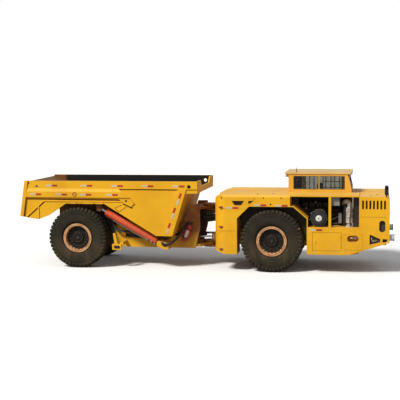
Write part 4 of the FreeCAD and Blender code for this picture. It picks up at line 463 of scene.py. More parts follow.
HOSE = finish("hose_rubber", (0.016, 0.015, 0.014), (0.028, 0.024, 0.020), (0.5, 0.75), mottle=20.0,
              grain=180.0, relief=0.0008, dust=0.2)
BRIGHT_HOSE = finish("braided_hose", (0.42, 0.41, 0.39), (0.30, 0.28, 0.26), (0.3, 0.5),
                     metallic=0.8, grain=260.0, relief=0.0010)
SEAM = finish("seam_shadow", (0.20, 0.095, 0.012), (0.14, 0.066, 0.010), (0.6, 0.8))
DEEP_SHADE = finish("deep_shade", (0.085, 0.032, 0.006), (0.060, 0.022, 0.005), (0.7, 0.9),
                    specular=0.1)
PIPE_WRAP = finish("pipe_wrap", (0.62, 0.58, 0.50), (0.40, 0.35, 0.27), (0.35, 0.55), metallic=0.25,
                   mottle=9.0, relief=0.0010, dust=0.1)
HOOK_PAINT = finish("hook_paint", (0.30, 0.045, 0.018), (0.20, 0.030, 0.012), (0.5, 0.7), dust=0.2)


def dress_frame():
    """Gives each CAD node the finish of its material slot, or one of its own."""
    rims = {"rear": rim_finish("rim_rear", REAR_AXLE), "front": rim_finish("rim_front", FRONT_AXLE)}
    for entry in frame["record"]["subparts"]:
        name = entry["node"]
        material = NODE_FINISHES.get(name) or MATERIALS.get(entry["material_slot"])
        if name.startswith("rim_"):
            material = rims[name.split("_")[1]]
        node = frame["nodes"][name]
        node.data.materials.clear()
        node.data.materials.append(material)


# ---- Mesh helpers

def finish_piece(name, mesh, body, slot, material=None, smooth=None):
    """A mesh made into a piece that rides on a body; smooth is the angle below which it shades."""
    built = bpy.data.meshes.new(name)
    bmesh.ops.recalc_face_normals(mesh, faces=mesh.faces)
    mesh.to_mesh(built)
    mesh.free()
    piece = bpy.data.objects.new(name, built)
    bpy.context.scene.collection.objects.link(piece)
    built.materials.append(material or MATERIALS[slot])
    if smooth:
        built.shade_smooth()
        built.set_sharp_from_angle(angle=math.radians(smooth))
    if body:
        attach(piece, body)
    return piece


def even(first, last, count):
    """Evenly spaced values, both ends included."""
    return [first + (last - first) * k / (count - 1) for k in range(count)]


def circle(count, offset=0.0):
    """(cosine, sine) at even steps round a circle."""
    angles = [2 * math.pi * (k + offset) / count for k in range(count)]
    return [(math.cos(angle), math.sin(angle)) for angle in angles]


def skin(mesh, rows, capped=True):
    """Faces from each row of corners to the next, and a face over either end."""
    for first, second in zip(rows, rows[1:]):
        for k in range(len(first)):
            n = (k + 1) % len(first)
            mesh.faces.new((first[k], first[n], second[n], second[k]))
    if capped:
        mesh.faces.new(rows[0])
        mesh.faces.new(list(reversed(rows[-1])))


def add_block(mesh, corner, opposite, turn=None, bevel=0.0):
    """A block between two corners, with its edges bevelled."""
    first, last = Vector(corner), Vector(opposite)
    made = bmesh.ops.create_cube(mesh, size=1.0)["verts"]
    bmesh.ops.scale(mesh, vec=[abs(side) for side in last - first], verts=made)
    if bevel:
        edges = list({edge for vert in made for edge in vert.link_edges})
        made = bmesh.ops.bevel(mesh, geom=edges, offset=bevel, segments=2, affect="EDGES",
                               profile=0.5)["verts"]
    if turn:
        bmesh.ops.rotate(mesh, matrix=turn, verts=made)
    bmesh.ops.translate(mesh, vec=(first + last) / 2, verts=made)
    return made


def add_rod(mesh, start, end, radius, sides=20):
    """A straight round bar between two places."""
    start, end = Vector(start), Vector(end)
    made = bmesh.ops.create_cone(mesh, cap_ends=True, segments=sides, radius1=radius,
                                 radius2=radius, depth=(end - start).length)["verts"]
    turn = UP.rotation_difference(end - start).to_matrix()
    bmesh.ops.rotate(mesh, matrix=turn, verts=made)
    bmesh.ops.translate(mesh, vec=(start + end) / 2, verts=made)


def add_hoop(mesh, middle, across, up, radius, thick, steps, sides=8):
    """A round bar bent into a circle, in the plane of two directions."""
    stops = [middle + radius * (cosine * across + sine * up) for cosine, sine in circle(steps)]
    for start, end in zip(stops, stops[1:] + stops[:1]):
        add_rod(mesh, start, end, thick, sides)


def smooth_path(points, steps=10):
    """Points along a smooth curve through given ones."""
    ends = [points[0]] + list(points) + [points[-1]]
    places = []
    for index in range(1, len(ends) - 2):
        before, first, second, after = (Vector(ends[index + k]) for k in (-1, 0, 1, 2))
        for step in range(steps):
            t = step / steps
            places.append(0.5 * ((2 * first) + (second - before) * t
                                 + (2 * before - 5 * first + 4 * second - after) * t * t
                                 + (3 * first - before - 3 * second + after) * t ** 3))
    places.append(Vector(points[-1]))
    return places


def add_tube(mesh, points, radius, sides=12, steps=10):
    """A round tube along a smooth curve, with closed ends."""
    path = smooth_path(points, steps)
    rings = []
    across = None
    for index, place in enumerate(path):
        ahead = (path[min(index + 1, len(path) - 1)] - path[max(index - 1, 0)]).normalized()
        across = across or ahead.orthogonal().normalized()
        across = (across - ahead * across.dot(ahead)).normalized()
        other = ahead.cross(across)
        rings.append([mesh.verts.new(place + radius * (cosine * across + sine * other))
                      for cosine, sine in circle(sides)])
    skin(mesh, rings)


def add_bolt(mesh, place, direction, size=0.018):
    """A hexagon head on a washer."""
    place, direction = Vector(place), Vector(direction).normalized()
    add_rod(mesh, place - 0.002 * direction, place + 0.003 * direction, 0.8 * size, sides=16)
    add_rod(mesh, place, place + 0.5 * size * direction, 0.55 * size, sides=6)


# ---- Wheels

LUGS = 46
TREAD_DEPTH = 0.024
RIBS_PER_LUG = 4
# Bolt circles on the hub: count, share of a step turned, radius, distance out, size.
HUB_BOLTS = (
    (20, 0.0, 0.282, 0.108, 0.030),
    (16, 0.5, 0.215, 0.096, 0.022),
    (10, 0.0, 0.105, 0.128, 0.018),
)
HUB_CAP = 0.128
# Stations along a tread block: distance across, shift round the tyre, half width at its top
# and at its foot, drop below the tread's radius.
LUG_STATIONS = (
    (0.012, 0.000, 0.022, 0.022, 0.0),
    (0.085, 0.012, 0.029, 0.033, 0.0),
    (0.150, 0.024, 0.034, 0.039, 0.002),
    (0.186, 0.032, 0.037, 0.042, 0.010),
    (0.208, 0.036, 0.036, 0.041, 0.034),
    (0.2148, 0.037, 0.030, 0.035, 0.066),
    (0.2145, 0.037, 0.021, 0.025, 0.088),
)
SIDEWALL_START = 0.2


def on_wheel(radius, angle, across):
    """A place given by its turn about a wheel's axle."""
    return radius * math.cos(angle), across, radius * math.sin(angle)


def add_casing(mesh, profile, steps):
    """A closed outline of (across, radius) turned about the Y axis."""
    rings = []
    for k in range(steps):
        angle = 2 * math.pi * k / steps
        rings.append([mesh.verts.new(on_wheel(radius, angle, across))
                      for across, radius in profile])
    skin(mesh, rings + rings[:1], capped=False)


def casing_outline():
    """Half of the tyre's section, from the crown of its casing round the shoulder to the bead."""
    crown = TYRE_RADIUS - TREAD_DEPTH
    return [
        (0.0, crown + 0.004), (0.10, crown + 0.001), (0.165, crown - 0.010), (0.196, crown - 0.038),
        (0.207, crown - 0.085), (0.2125, crown - 0.150), (0.2150, crown - 0.205),
        (0.2125, crown - 0.245), (0.2100, crown - 0.247), (0.2100, crown - 0.257),
        (0.2115, crown - 0.259), (0.2060, crown - 0.300), (0.1950, crown - 0.326),
        (0.1790, crown - 0.338), (0.1780, 0.345), (0.1780, 0.320), (0.1200, 0.3185),
    ]


def add_section(mesh, angle, side, inner, outer):
    """Four corners of a block; inner and outer are (radius, half its angle, distance across)."""
    foot, top = ([mesh.verts.new(on_wheel(radius, angle + sign * half, side * across))
                  for sign in (-1, 1)]
                 for radius, half, across in (inner, outer))
    return foot + top[::-1]


def add_lug(mesh, angle, side):
    """One tread block: wide at the shoulder, slanted, and carried down the sidewall."""
    rows = []
    turn = side / TYRE_RADIUS
    for across, shift, top, foot, drop in LUG_STATIONS:
        outer = TYRE_RADIUS - drop
        inner = min(outer - 0.006, TYRE_RADIUS - TREAD_DEPTH - 0.8 * drop) - 0.012
        inner_across = across
        if across > SIDEWALL_START:
            inner = outer - 0.045
            inner_across = across - 0.016
        rows.append(add_section(mesh, angle + shift * turn, side,
                                (inner, foot * turn, inner_across), (outer, top * turn, across)))
    skin(mesh, rows)


def add_rib(mesh, angle, side):
    """A short radial rib on the tyre's sidewall."""
    middle = TYRE_RADIUS - TREAD_DEPTH - 0.118
    foot, top = 0.005 / middle, 0.003 / middle
    skin(mesh, [add_section(mesh, angle, side, (radius, foot, 0.2080), (radius, top, 0.2150))
                for radius in (middle - 0.020, middle + 0.020)])


def make_tyre(end, side_name):
    """A road tyre, in place of the CAD's coarse one."""
    node = f"tyre_{end}_{side_name}"
    mesh = bmesh.new()
    half = casing_outline()
    profile = half + [(-across, radius) for across, radius in reversed(half[1:])]
    add_casing(mesh, profile, 6 * LUGS)
    pitch = 2 * math.pi / LUGS
    for k in range(LUGS):
        add_lug(mesh, k * pitch, 1)
        add_lug(mesh, (k + 0.5) * pitch, -1)
        for step in range(RIBS_PER_LUG):
            for side in (1, -1):
                add_rib(mesh, (k + step / RIBS_PER_LUG) * pitch, side)
    bmesh.ops.translate(mesh, vec=centre(node), verts=mesh.verts)
    piece = finish_piece(f"road_{node}", mesh, f"wheel_{end}_{side_name}", "tyre_rubber", smooth=32)
    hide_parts(node)


def make_wheel_trim(end, side_name):
    """Wheel nuts, the bolts of the hub's cover and cap, and the cap's plug."""
    hub = centre(f"tyre_{end}_{side_name}")
    out = SIDES[side_name] * LEFT
    mesh = bmesh.new()
    for count, offset, radius, distance, size in HUB_BOLTS:
        for cosine, sine in circle(count, offset):
            place = hub + distance * out + radius * (cosine * AHEAD + sine * UP)
            add_bolt(mesh, place, out, size)
    cap = hub + HUB_CAP * out
    add_rod(mesh, cap, cap + 0.018 * out, 0.035, sides=28)
    finish_piece(f"wheel_nuts_{end}_{side_name}", mesh, f"wheel_{end}_{side_name}",
                 "cast_dark", smooth=35)


# ---- Reflecting tapes

TAPE_THICK = 0.0015
TAPE_HALF = 0.145
TAPE_GAP = 0.006
BOX_TAPE_TALL = 0.025
TRACTOR_TAPE_TALL = 0.024
RAIL_TAPES = (-0.640, 0.267, 1.047, 1.810, 2.579)
RAIL_TAPE_UP = BOX_TOP - 0.118
BAND_TAPES = (-1.055, -0.384, 0.244, 0.921)
BAND_TAPE_UP = BOX_TOP - 0.336
POST_TAPES = ((2.613, 1.811), (2.554, 1.663), (2.468, 1.460), (2.423, 1.319),
              (2.336, 1.086), (2.287, 0.943))
POST_LEAN = math.radians(20.5)
TRACTOR_TAPES = (
    (HINGE + 0.757, 1.538),
    (FRONT_AXLE - 0.263, 1.609),
    (FRONT_AXLE + 0.238, 1.604),
    (FRONT_AXLE + 1.048, 1.040),
)


def add_tape_pair(white, red, x, z, tall, face, side):
    """A white strip and a red one ahead of it, on an upright face."""
    for mesh, start, end in ((white, x - TAPE_HALF, x - TAPE_GAP),
                             (red, x + TAPE_GAP, x + TAPE_HALF)):
        add_block(mesh, (start, side * (face - 0.001), z - tall),
                  (end, side * (face + TAPE_THICK), z + tall))


def make_box_tapes(side_name, side):
    """White and red strips on the box's rail, band and leaning front post."""
    red, white = bmesh.new(), bmesh.new()
    for x in RAIL_TAPES:
        add_tape_pair(white, red, REAR_AXLE + x, RAIL_TAPE_UP, BOX_TAPE_TALL, RAIL_FACE, side)
    for x in BAND_TAPES:
        add_tape_pair(white, red, REAR_AXLE + x, BAND_TAPE_UP, BOX_TAPE_TALL, BAND_FACE, side)
    for k, (x, z) in enumerate(POST_TAPES):
        add_block((red, white)[k % 2], from_rear(x - 0.028, side * (RAIL_FACE - 0.001), z - 0.066),
                  from_rear(x + 0.028, side * (RAIL_FACE + TAPE_THICK), z + 0.066),
                  turn=Matrix.Rotation(POST_LEAN, 3, "Y"))
    finish_piece(f"tape_red_box_{side_name}", red, "dump_box", "truck_yellow", RED_TAPE)
    finish_piece(f"tape_white_box_{side_name}", white, "dump_box", "truck_yellow", WHITE_TAPE)


def make_tractor_tapes(side_name, side):
    """White and red strips on the tractor: four on the right flank, one on the left."""
    red, white = bmesh.new(), bmesh.new()
    for x, z in TRACTOR_TAPES[: 4 if side < 0 else 1]:
        add_tape_pair(white, red, x, z, TRACTOR_TAPE_TALL, SHELL_FACE, side)
    finish_piece(f"tape_red_tractor_{side_name}", red, "tractor", "truck_yellow", RED_TAPE)
    finish_piece(f"tape_white_tractor_{side_name}", white, "tractor", "truck_yellow", WHITE_TAPE)


# ---- Tractor trim

WINDOW_LOW = 1.930
WINDOW_HIGH = 2.235
WINDOWS = ((0.45, 1.04), (1.08, 1.67))
GUARD_BARS = (0.731, 0.835, 0.939, 1.156, 1.221, 1.345, 1.438, 1.557)
CLEANER_FACE = Vector((FRONT_AXLE + 1.11, low("air_cleaner").y, 1.310))
EXHAUST_X = FRONT_AXLE + 1.82
MIRROR_X = FRONT_AXLE + 2.665
BOTTLE_LEAN = math.radians(22)
BOTTLE_ALONG = Vector((math.sin(BOTTLE_LEAN), 0, math.cos(BOTTLE_LEAN)))
BOTTLE_FOOT = Vector((REAR_AXLE + 2.600, low("fire_extinguisher").y + 0.062, 0.640))


def add_seam(mesh, start, end, face, side=-1, wide=0.006):
    """A narrow joint between two panels, on an upright face."""
    (x0, z0), (x1, z1) = start, end
    length = math.hypot(x1 - x0, z1 - z0)
    turn = Matrix.Rotation(-math.atan2(z1 - z0, x1 - x0), 3, "Y")
    middle = Vector(((x0 + x1) / 2, side * face, (z0 + z1) / 2))
    made = add_block(mesh, (-length / 2, -0.0012, -wide / 2), (length / 2, 0.0012, wide / 2))
    bmesh.ops.rotate(mesh, matrix=turn, verts=made)
    bmesh.ops.translate(mesh, vec=middle, verts=made)


def make_seams():
    """Panel joints on the tractor's flanks and round its low boxes."""
    upper, lower, nose = 1.515, 0.984, 1.361
    mesh = bmesh.new()
    for side in (-1, 1):
        add_seam(mesh, (SHELL_BACK + 0.17, upper), (FRONT_AXLE - 0.62, upper), SHELL_FACE, side)
        add_seam(mesh, (SHELL_BACK + 0.02, lower), (SHELL_BACK + 0.53, lower), SHELL_FACE, side)
        add_seam(mesh, (FRONT_AXLE - 0.38, 1.79), (FRONT_AXLE - 0.52, 1.60), SHELL_FACE, side)
    panel = FRONT_AXLE + 1.705
    add_seam(mesh, (panel, 0.58), (panel, 0.985), SHELL_FACE)
    add_seam(mesh, (FRONT_AXLE + 2.05, nose), (FRONT_AXLE + 2.66, nose), SHELL_FACE)
    finish_piece("panel_seams", mesh, "tractor", "truck_yellow", SEAM)


def add_flank_bolt(mesh, x, z, size, proud=0.0):
    """A bolt on the right flank, its X counted from the front axle."""
    add_bolt(mesh, from_front(x, -SHELL_FACE - proud, z), -LEFT, size)


def make_tractor_bolts():
    """Cover bolts on the deck, the locker's sill, the side panel and the nose."""
    mesh = bmesh.new()
    for x in even(-0.95, 0.25, 5):
        for y in (-0.95, -0.45, 0.45, 0.95):
            if abs(y) < 0.5 or x < 0:
                add_bolt(mesh, from_front(x, y, SHELL_TOP), UP, size=0.020)
    for x in even(0.66, 1.66, 6):
        add_flank_bolt(mesh, x, 1.060, 0.014)
    for x in (1.74, 2.09):
        for z in (0.62, 0.945):
            add_flank_bolt(mesh, x, z, 0.016, proud=0.005)
    for z in (1.12, 1.42, 1.74):
        add_flank_bolt(mesh, 2.085, z, 0.014)
    finish_piece("tractor_bolts", mesh, "tractor", "truck_yellow", smooth=30)


def make_locker_handle():
    """The locker's latch plate with its keyhole boss."""
    mesh = bmesh.new()
    place = Vector((low("locker_door").x + 0.07, -SHELL_FACE, centre("locker_door").z))
    add_block(mesh, place + Vector((-0.018, 0, -0.055)), place + Vector((0.018, -0.006, 0.055)),
              bevel=0.002)
    add_rod(mesh, place + Vector((0, -0.004, 0.025)), place + Vector((0, -0.010, 0.025)), 0.012)
    finish_piece("locker_latch", mesh, "locker_door", "truck_yellow", smooth=30)


def add_engine_castings(mesh, first, last, head, covers):
    """The case, the sump and the head, one above the other."""
    for rear, ahead, inset, bottom, top, bevel in (
            (0.03, 0.12, 0.10, first.z + 0.10, head, 0.015),
            (0.10, 0.20, 0.16, first.z, first.z + 0.14, 0.02),
            (0.05, 0.14, 0.13, head, covers, 0.012)):
        add_block(mesh, (first.x + rear, first.y + inset, bottom),
                  (last.x - ahead, last.y - inset, top), bevel=bevel)


def add_cylinder_fittings(mesh, x, first, last, covers):
    """One cylinder's valve cover, the rib on the case and the exhaust port."""
    middle, tall = (first.y + last.y) / 2, last.z - first.z
    add_block(mesh, (x - 0.075, middle - 0.12, covers), (x + 0.075, middle + 0.12, last.z - 0.02),
              bevel=0.018)
    add_block(mesh, (x - 0.012, first.y + 0.07, first.z + 0.16),
              (x + 0.012, first.y + 0.11, first.z + 0.60 * tall), bevel=0.004)
    add_tube(mesh, [(x, first.y + 0.14, first.z + 0.72 * tall),
                    (x, first.y + 0.07, first.z + 0.74 * tall),
                    (x + 0.02, first.y + 0.05, first.z + 0.66 * tall)], 0.028)


def add_pulleys(mesh, front, middle, floor):
    """Three pulleys with their hubs, ahead of the case."""
    for y, z, radius in ((middle, floor + 0.24, 0.12), (middle - 0.13, floor + 0.60, 0.075),
                         (middle + 0.14, floor + 0.56, 0.065)):
        add_rod(mesh, (front - 0.02, y, z), (front + 0.08, y, z), radius, sides=36)
        add_rod(mesh, (front + 0.08, y, z), (front + 0.10, y, z), 0.35 * radius, sides=20)


def make_engine():
    """The open engine: case, sump, head, covers, manifold, pulleys, flywheel and oil filter."""
    first, last = low("engine_block"), high("engine_block")
    middle, tall = (first.y + last.y) / 2, last.z - first.z
    head, covers = first.z + 0.62 * tall, first.z + 0.80 * tall
    mesh = bmesh.new()
    add_engine_castings(mesh, first, last, head, covers)
    for x in even(first.x + 0.18, last.x - 0.28, 6):
        add_cylinder_fittings(mesh, x, first, last, covers)
    manifold = first.z + 0.65 * tall
    add_tube(mesh, [(first.x + 0.12, first.y + 0.055, manifold),
                    ((first.x + last.x) / 2, first.y + 0.045, manifold),
                    (last.x - 0.22, first.y + 0.055, manifold)], 0.045, sides=16)
    add_pulleys(mesh, last.x - 0.12, middle, first.z)
    flywheel = Vector((first.x, middle, first.z + 0.27))
    add_rod(mesh, flywheel, flywheel + 0.08 * AHEAD, 0.24, sides=48)
    oil_filter = first + Vector((0.40, 0.055, 0.30))
    for length in (0.16, 0.24):
        add_rod(mesh, oil_filter, oil_filter + length * UP, 0.045, sides=24)
    piece = finish_piece("engine_assembly", mesh, "tractor", "cast_dark", smooth=34)
    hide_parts("engine_block")


def make_engine_hoses():
    """Two hoses that hang along the engine's right side."""
    first, last = low("engine_block"), high("engine_block")
    joint, outer, floor = first.y + 0.06, first.y - 0.05, first.z + 0.34
    mesh = bmesh.new()
    add_tube(mesh, [(first.x + 0.15, joint, floor + 0.35), (first.x + 0.30, outer, floor + 0.25),
                    (first.x + 0.75, outer - 0.03, floor + 0.10),
                    (last.x - 0.25, outer, floor + 0.22),
                    (last.x - 0.13, joint + 0.01, floor + 0.36)], 0.020)
    add_tube(mesh, [(first.x + 0.10, joint, floor + 0.08), (first.x + 0.45, outer, floor + 0.02),
                    (last.x - 0.35, outer, floor + 0.01),
                    (last.x - 0.14, joint, floor + 0.12)], 0.016)
    finish_piece("engine_hoses", mesh, "tractor", "black_plastic", HOSE, smooth=40)


def make_air_cleaner_disc():
    """The white disc in the middle of the air cleaner's cap."""
    mesh = bmesh.new()
    step = CLEANER_FACE - 0.010 * LEFT
    add_rod(mesh, CLEANER_FACE + 0.004 * LEFT, step, 0.072, sides=40)
    add_rod(mesh, step, step - 0.006 * LEFT, 0.050, sides=40)
    finish_piece("air_cleaner_disc", mesh, "tractor", "truck_yellow", WHITE_DISC, smooth=35)


def make_air_cleaner_clips():
    """The disc's knob, the cap's ridges and its four clips."""
    mesh = bmesh.new()
    add_rod(mesh, CLEANER_FACE - 0.016 * LEFT, CLEANER_FACE - 0.021 * LEFT, 0.016, sides=24)
    for cosine, sine in circle(16, 0.5):
        spoke = cosine * AHEAD + sine * UP
        root = CLEANER_FACE + 0.004 * LEFT
        add_rod(mesh, root + 0.086 * spoke, root + 0.140 * spoke, 0.006, sides=8)
    half = Vector((0.014, 0.035, 0.014))
    for cosine, sine in circle(4, 0.5):
        place = CLEANER_FACE + 0.196 * (cosine * AHEAD + sine * UP) + 0.045 * LEFT
        add_block(mesh, place - half, place + half, bevel=0.004)
    finish_piece("air_cleaner_clips", mesh, "tractor", "black_plastic", smooth=35)


def make_window_gaskets():
    """Dark gaskets round the two right windows."""
    mesh = bmesh.new()
    face = low("cab_shell").y
    rim = 0.008
    for start, end in WINDOWS:
        for x0, z0, x1, z1 in ((start - rim, WINDOW_LOW - rim, end + rim, WINDOW_LOW),
                               (start - rim, WINDOW_HIGH, end + rim, WINDOW_HIGH + rim),
                               (start - rim, WINDOW_LOW, start, WINDOW_HIGH),
                               (end, WINDOW_LOW, end + rim, WINDOW_HIGH)):
            add_block(mesh, from_front(x0, face - 0.006, z0), from_front(x1, face + 0.004, z1),
                      bevel=0.002)
    finish_piece("window_gaskets", mesh, "tractor", "black_plastic", smooth=30)


def make_lamp_rings():
    """Guards round the headlamps."""
    mesh = bmesh.new()
    for side in (-1, 1):
        place = Vector((high("headlamps").x - 0.008, side * 0.930, 0.870))
        add_hoop(mesh, place, LEFT, UP, 0.082, 0.006, 36)
    finish_piece("lamp_rings", mesh, "tractor", "black_plastic", smooth=40)


def add_arch_shade_panel(mesh, side):
    """A dark panel of painted shade inside a front wheel arch."""
    outline = ((-0.80, 0.70), (-0.80, 1.34), (-0.50, 1.66), (0.52, 1.66),
               (0.86, 1.36), (0.86, 0.70))
    rows = [[mesh.verts.new(from_front(x, side * y, z)) for x, z in outline]
            for y in (0.612, 0.604)]
    skin(mesh, rows)


def make_shade_panels():
    """Dark panels of painted shade behind the wheel arches, the flanks' cut-outs, the nose and the
    engine bay.
    """
    mesh = bmesh.new()
    for side in (-1, 1):
        add_arch_shade_panel(mesh, side)
        deep = side * (SHELL_FACE - 0.088)
        for middle, half, bottom in ((-0.80, 0.16, 1.58), (-0.48, 0.08, 1.62)):
            add_block(mesh, from_front(middle - half, deep, bottom),
                      from_front(middle + half, deep + side * 0.004, 1.72))
    add_block(mesh, from_front(2.27, -1.02, 0.70), from_front(2.67, -1.012, 1.30))
    add_block(mesh, from_front(0.46, -0.56, 1.12), from_front(0.60, -0.552, 1.80))
    finish_piece("painted_shade_panels", mesh, "tractor", "frame_dark")


def make_exhaust():
    """The lagged exhaust stack: a flanged foot, a fat silencer and an elbow back to the engine."""
    top = high("exhaust").z
    foot = Vector((EXHAUST_X, low("exhaust").y + 0.10, low("exhaust").z))
    neck = foot + 0.10 * UP
    mesh = bmesh.new()
    add_rod(mesh, foot, foot + 0.03 * UP, 0.098, sides=40)
    add_rod(mesh, foot + 0.03 * UP, neck, 0.066, sides=36)
    add_rod(mesh, neck, (foot.x, foot.y, top - 0.20), 0.086, sides=40)
    for z in even(foot.z + 0.11, top - 0.21, 6):
        add_rod(mesh, (foot.x, foot.y, z - 0.008), (foot.x, foot.y, z + 0.008), 0.090, sides=40)
    crown = Vector((foot.x, foot.y, top))
    elbow = ((0, 0, -0.24), (0, 0, -0.15), (-0.022, 0.004, -0.085), (-0.065, 0.020, -0.060),
             (-0.108, 0.060, -0.080), (-0.125, 0.130, -0.110), (-0.130, 0.240, -0.120))
    add_tube(mesh, [crown + Vector(step) for step in elbow], 0.058, sides=28)
    piece = finish_piece("exhaust_stack", mesh, "tractor", "steel_pipe", PIPE_WRAP, smooth=40)
    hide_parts("exhaust")


def make_pipe_leads():
    """Dark leads and a drain pipe that run down beside the exhaust stack."""
    mesh = bmesh.new()
    for shift, y in ((-0.105, -0.900), (-0.135, -0.880), (0.020, -0.985)):
        x = EXHAUST_X + shift
        add_tube(mesh, [(x, y, 1.640), (x + 0.012, y - 0.004, 1.480), (x - 0.010, y, 1.300),
                        (x, y + 0.010, 1.115)], 0.012)
    finish_piece("pipe_leads", mesh, "tractor", "black_plastic", HOSE, smooth=60)


def make_deck_cover():
    """The cover plate on the deck, between the cab's front wall and the nose."""
    mesh = bmesh.new()
    back, ahead = high("cab_shell").x + 0.004, low("hood_front").x - 0.004
    face = SHELL_TOP - 0.028
    add_block(mesh, (back, -0.215, face - 0.017), (ahead, 1.040, face), bevel=0.003)
    for y in even(-0.15, 0.98, 5):
        add_bolt(mesh, ((back + ahead) / 2, y, face), UP, size=0.014)
    finish_piece("deck_cover", mesh, "tractor", "truck_yellow", smooth=30)


def make_dark_bolts():
    """Dark screw heads on the flank and the decks, and painted shade in the hole between the hood's
    tapes.
    """
    mesh = bmesh.new()
    for x in (-1.20, -0.19, 0.23):
        add_flank_bolt(mesh, x, 1.783, 0.020)
    for x, y, deck in ((-0.36, -0.86, SHELL_TOP), (0.02, -0.80, SHELL_TOP),
                       (2.30, -0.80, high("hood_front").z), (2.45, -0.55, high("hood_front").z)):
        add_bolt(mesh, from_front(x, y, deck), UP, size=0.026)
    # The hole is a dark disc of painted shade.
    hole = from_front(-0.018, -SHELL_FACE, 1.633)
    add_rod(mesh, hole + 0.004 * LEFT, hole - 0.002 * LEFT, 0.022, sides=24)
    finish_piece("dark_bolts", mesh, "tractor", "frame_dark", smooth=30)


def make_mirror():
    """The nose's marker mirror with its rounded head and stalk, and the roof's aerial."""
    inner, outer, foot, head_low, head_high = -0.935, -1.070, SHELL_TOP - 0.05, 1.870, 2.060
    mesh = bmesh.new()
    add_block(mesh, (MIRROR_X - 0.045, outer, head_low), (MIRROR_X + 0.045, inner, head_high),
              bevel=0.020)
    crown = head_high - 0.015
    add_rod(mesh, (MIRROR_X, outer, crown), (MIRROR_X, inner, crown), 0.045, sides=32)
    add_rod(mesh, (MIRROR_X, -1.0, foot), (MIRROR_X, -1.0, head_low + 0.010), 0.014)
    aerial = Vector((low("mirror_and_antenna").x + 0.006, 0, high("cab_roof").z))
    add_rod(mesh, aerial, aerial + 0.030 * UP, 0.014)
    add_rod(mesh, aerial, (aerial.x, 0, high("mirror_and_antenna").z), 0.006)
    piece = finish_piece("mirror_and_aerial", mesh, "tractor", "black_plastic", smooth=35)
    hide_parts("mirror_and_antenna")


def add_guard_bars(mesh):
    """Upright bars inside the right windows, and two cross bars in the front one."""
    inner = low("cab_shell").y + 0.060
    for x in GUARD_BARS:
        add_block(mesh, from_front(x - 0.011, inner - 0.006, WINDOW_LOW - 0.02),
                  from_front(x + 0.011, inner + 0.006, WINDOW_HIGH + 0.015), bevel=0.003)
    for z in (1.965, 2.105):
        add_block(mesh, from_front(1.135, inner + 0.006, z - 0.008),
                  from_front(1.615, inner + 0.016, z + 0.008), bevel=0.003)


def add_work_lamps(mesh):
    """Housings and brackets behind the roof's four work lamps."""
    up = high("cab_shell").z - 0.040
    for x, out in ((0.295, 1), (1.776, -1)):
        for y in (-0.110, 0.970):
            place = from_front(x, y, up)
            add_rod(mesh, place, place + out * 0.028 * AHEAD, 0.046, sides=28)
            add_block(mesh, place - 0.012 * LEFT, place + Vector((out * 0.022, 0.012, 0.042)),
                      bevel=0.003)


def make_window_bars():
    """The windows' guard bars, the work lamps' housings and a dark strip of painted shade beside
    the exhaust.
    """
    mesh = bmesh.new()
    add_guard_bars(mesh)
    add_work_lamps(mesh)
    # A dark strip of painted shade on the engine bay's wall beside the exhaust.
    add_block(mesh, from_front(1.930, -0.900, 1.105), from_front(2.040, -0.892, 1.780))
    finish_piece("window_bars", mesh, "tractor", "black_plastic", smooth=30)


def make_recess_bars():
    """The grab bar and its boss in the low oval, and the bar in the tow recess."""
    mesh = bmesh.new()
    oval = from_rear(6.728, -1.040, 0.842)
    grab = ((-0.085, 0.03, -0.01), (-0.05, 0, 0.012), (0.03, 0, 0.018), (0.085, 0.03, -0.015))
    add_tube(mesh, [oval + Vector(step) for step in grab], 0.013)
    add_rod(mesh, oval + Vector((0.055, 0.02, 0.02)), oval + Vector((0.055, -0.01, 0.02)),
            0.030, sides=24)
    hook = from_rear(7.200, -1.035, 0.820)
    bend = ((-0.05, 0.02, 0.06), (-0.035, -0.005, -0.02), (0.03, -0.005, -0.025),
            (0.075, 0.02, 0.0))
    add_tube(mesh, [hook + Vector(step) for step in bend], 0.018)
    finish_piece("recess_grab_bar", mesh, "tractor", "steel_pipe", smooth=40)


def make_rear_catches():
    """Three catches up each rear corner of the tractor."""
    mesh = bmesh.new()
    half = Vector((0.045, 0.004, 0.022))
    for side in (-1, 1):
        for z in (1.551, 1.079, 0.542):
            place = Vector((SHELL_BACK + 0.180, side * SHELL_FACE, z))
            add_block(mesh, place - half, place + half, bevel=0.006)
    finish_piece("rear_catches", mesh, "tractor", "truck_yellow", HOOK_PAINT, smooth=35)


def make_bay_parts():
    """A canister and four plugs in the engine bay."""
    mesh = bmesh.new()
    add_block(mesh, from_rear(6.375, -0.820, 1.17), from_rear(6.455, -0.700, 1.42), bevel=0.015)
    for x, z in ((5.62, 1.52), (5.74, 1.40), (5.70, 1.24), (5.84, 1.66)):
        add_rod(mesh, from_rear(x, -0.78, z), from_rear(x, -0.72, z), 0.016, sides=16)
    finish_piece("bay_small_parts", mesh, "tractor", "steel_pipe", GREY_BOX, smooth=35)


def make_bottle_label():
    """A label bent round the leaning fire extinguisher."""
    mesh = bmesh.new()
    aside = BOTTLE_ALONG.cross(-LEFT).normalized()
    rows = []
    for degrees in even(-33, 33, 7):
        turn = math.radians(degrees)
        out = math.cos(turn) * -LEFT + math.sin(turn) * aside
        rows.append([mesh.verts.new(BOTTLE_FOOT + reach * BOTTLE_ALONG + 0.0635 * out)
                     for reach in (0.125, 0.305)])
    for first, second in zip(rows, rows[1:]):
        mesh.faces.new((first[0], first[1], second[1], second[0]))
    finish_piece("extinguisher_label", mesh, "rear_half", "bottle_red", WHITE_DISC, smooth=35)


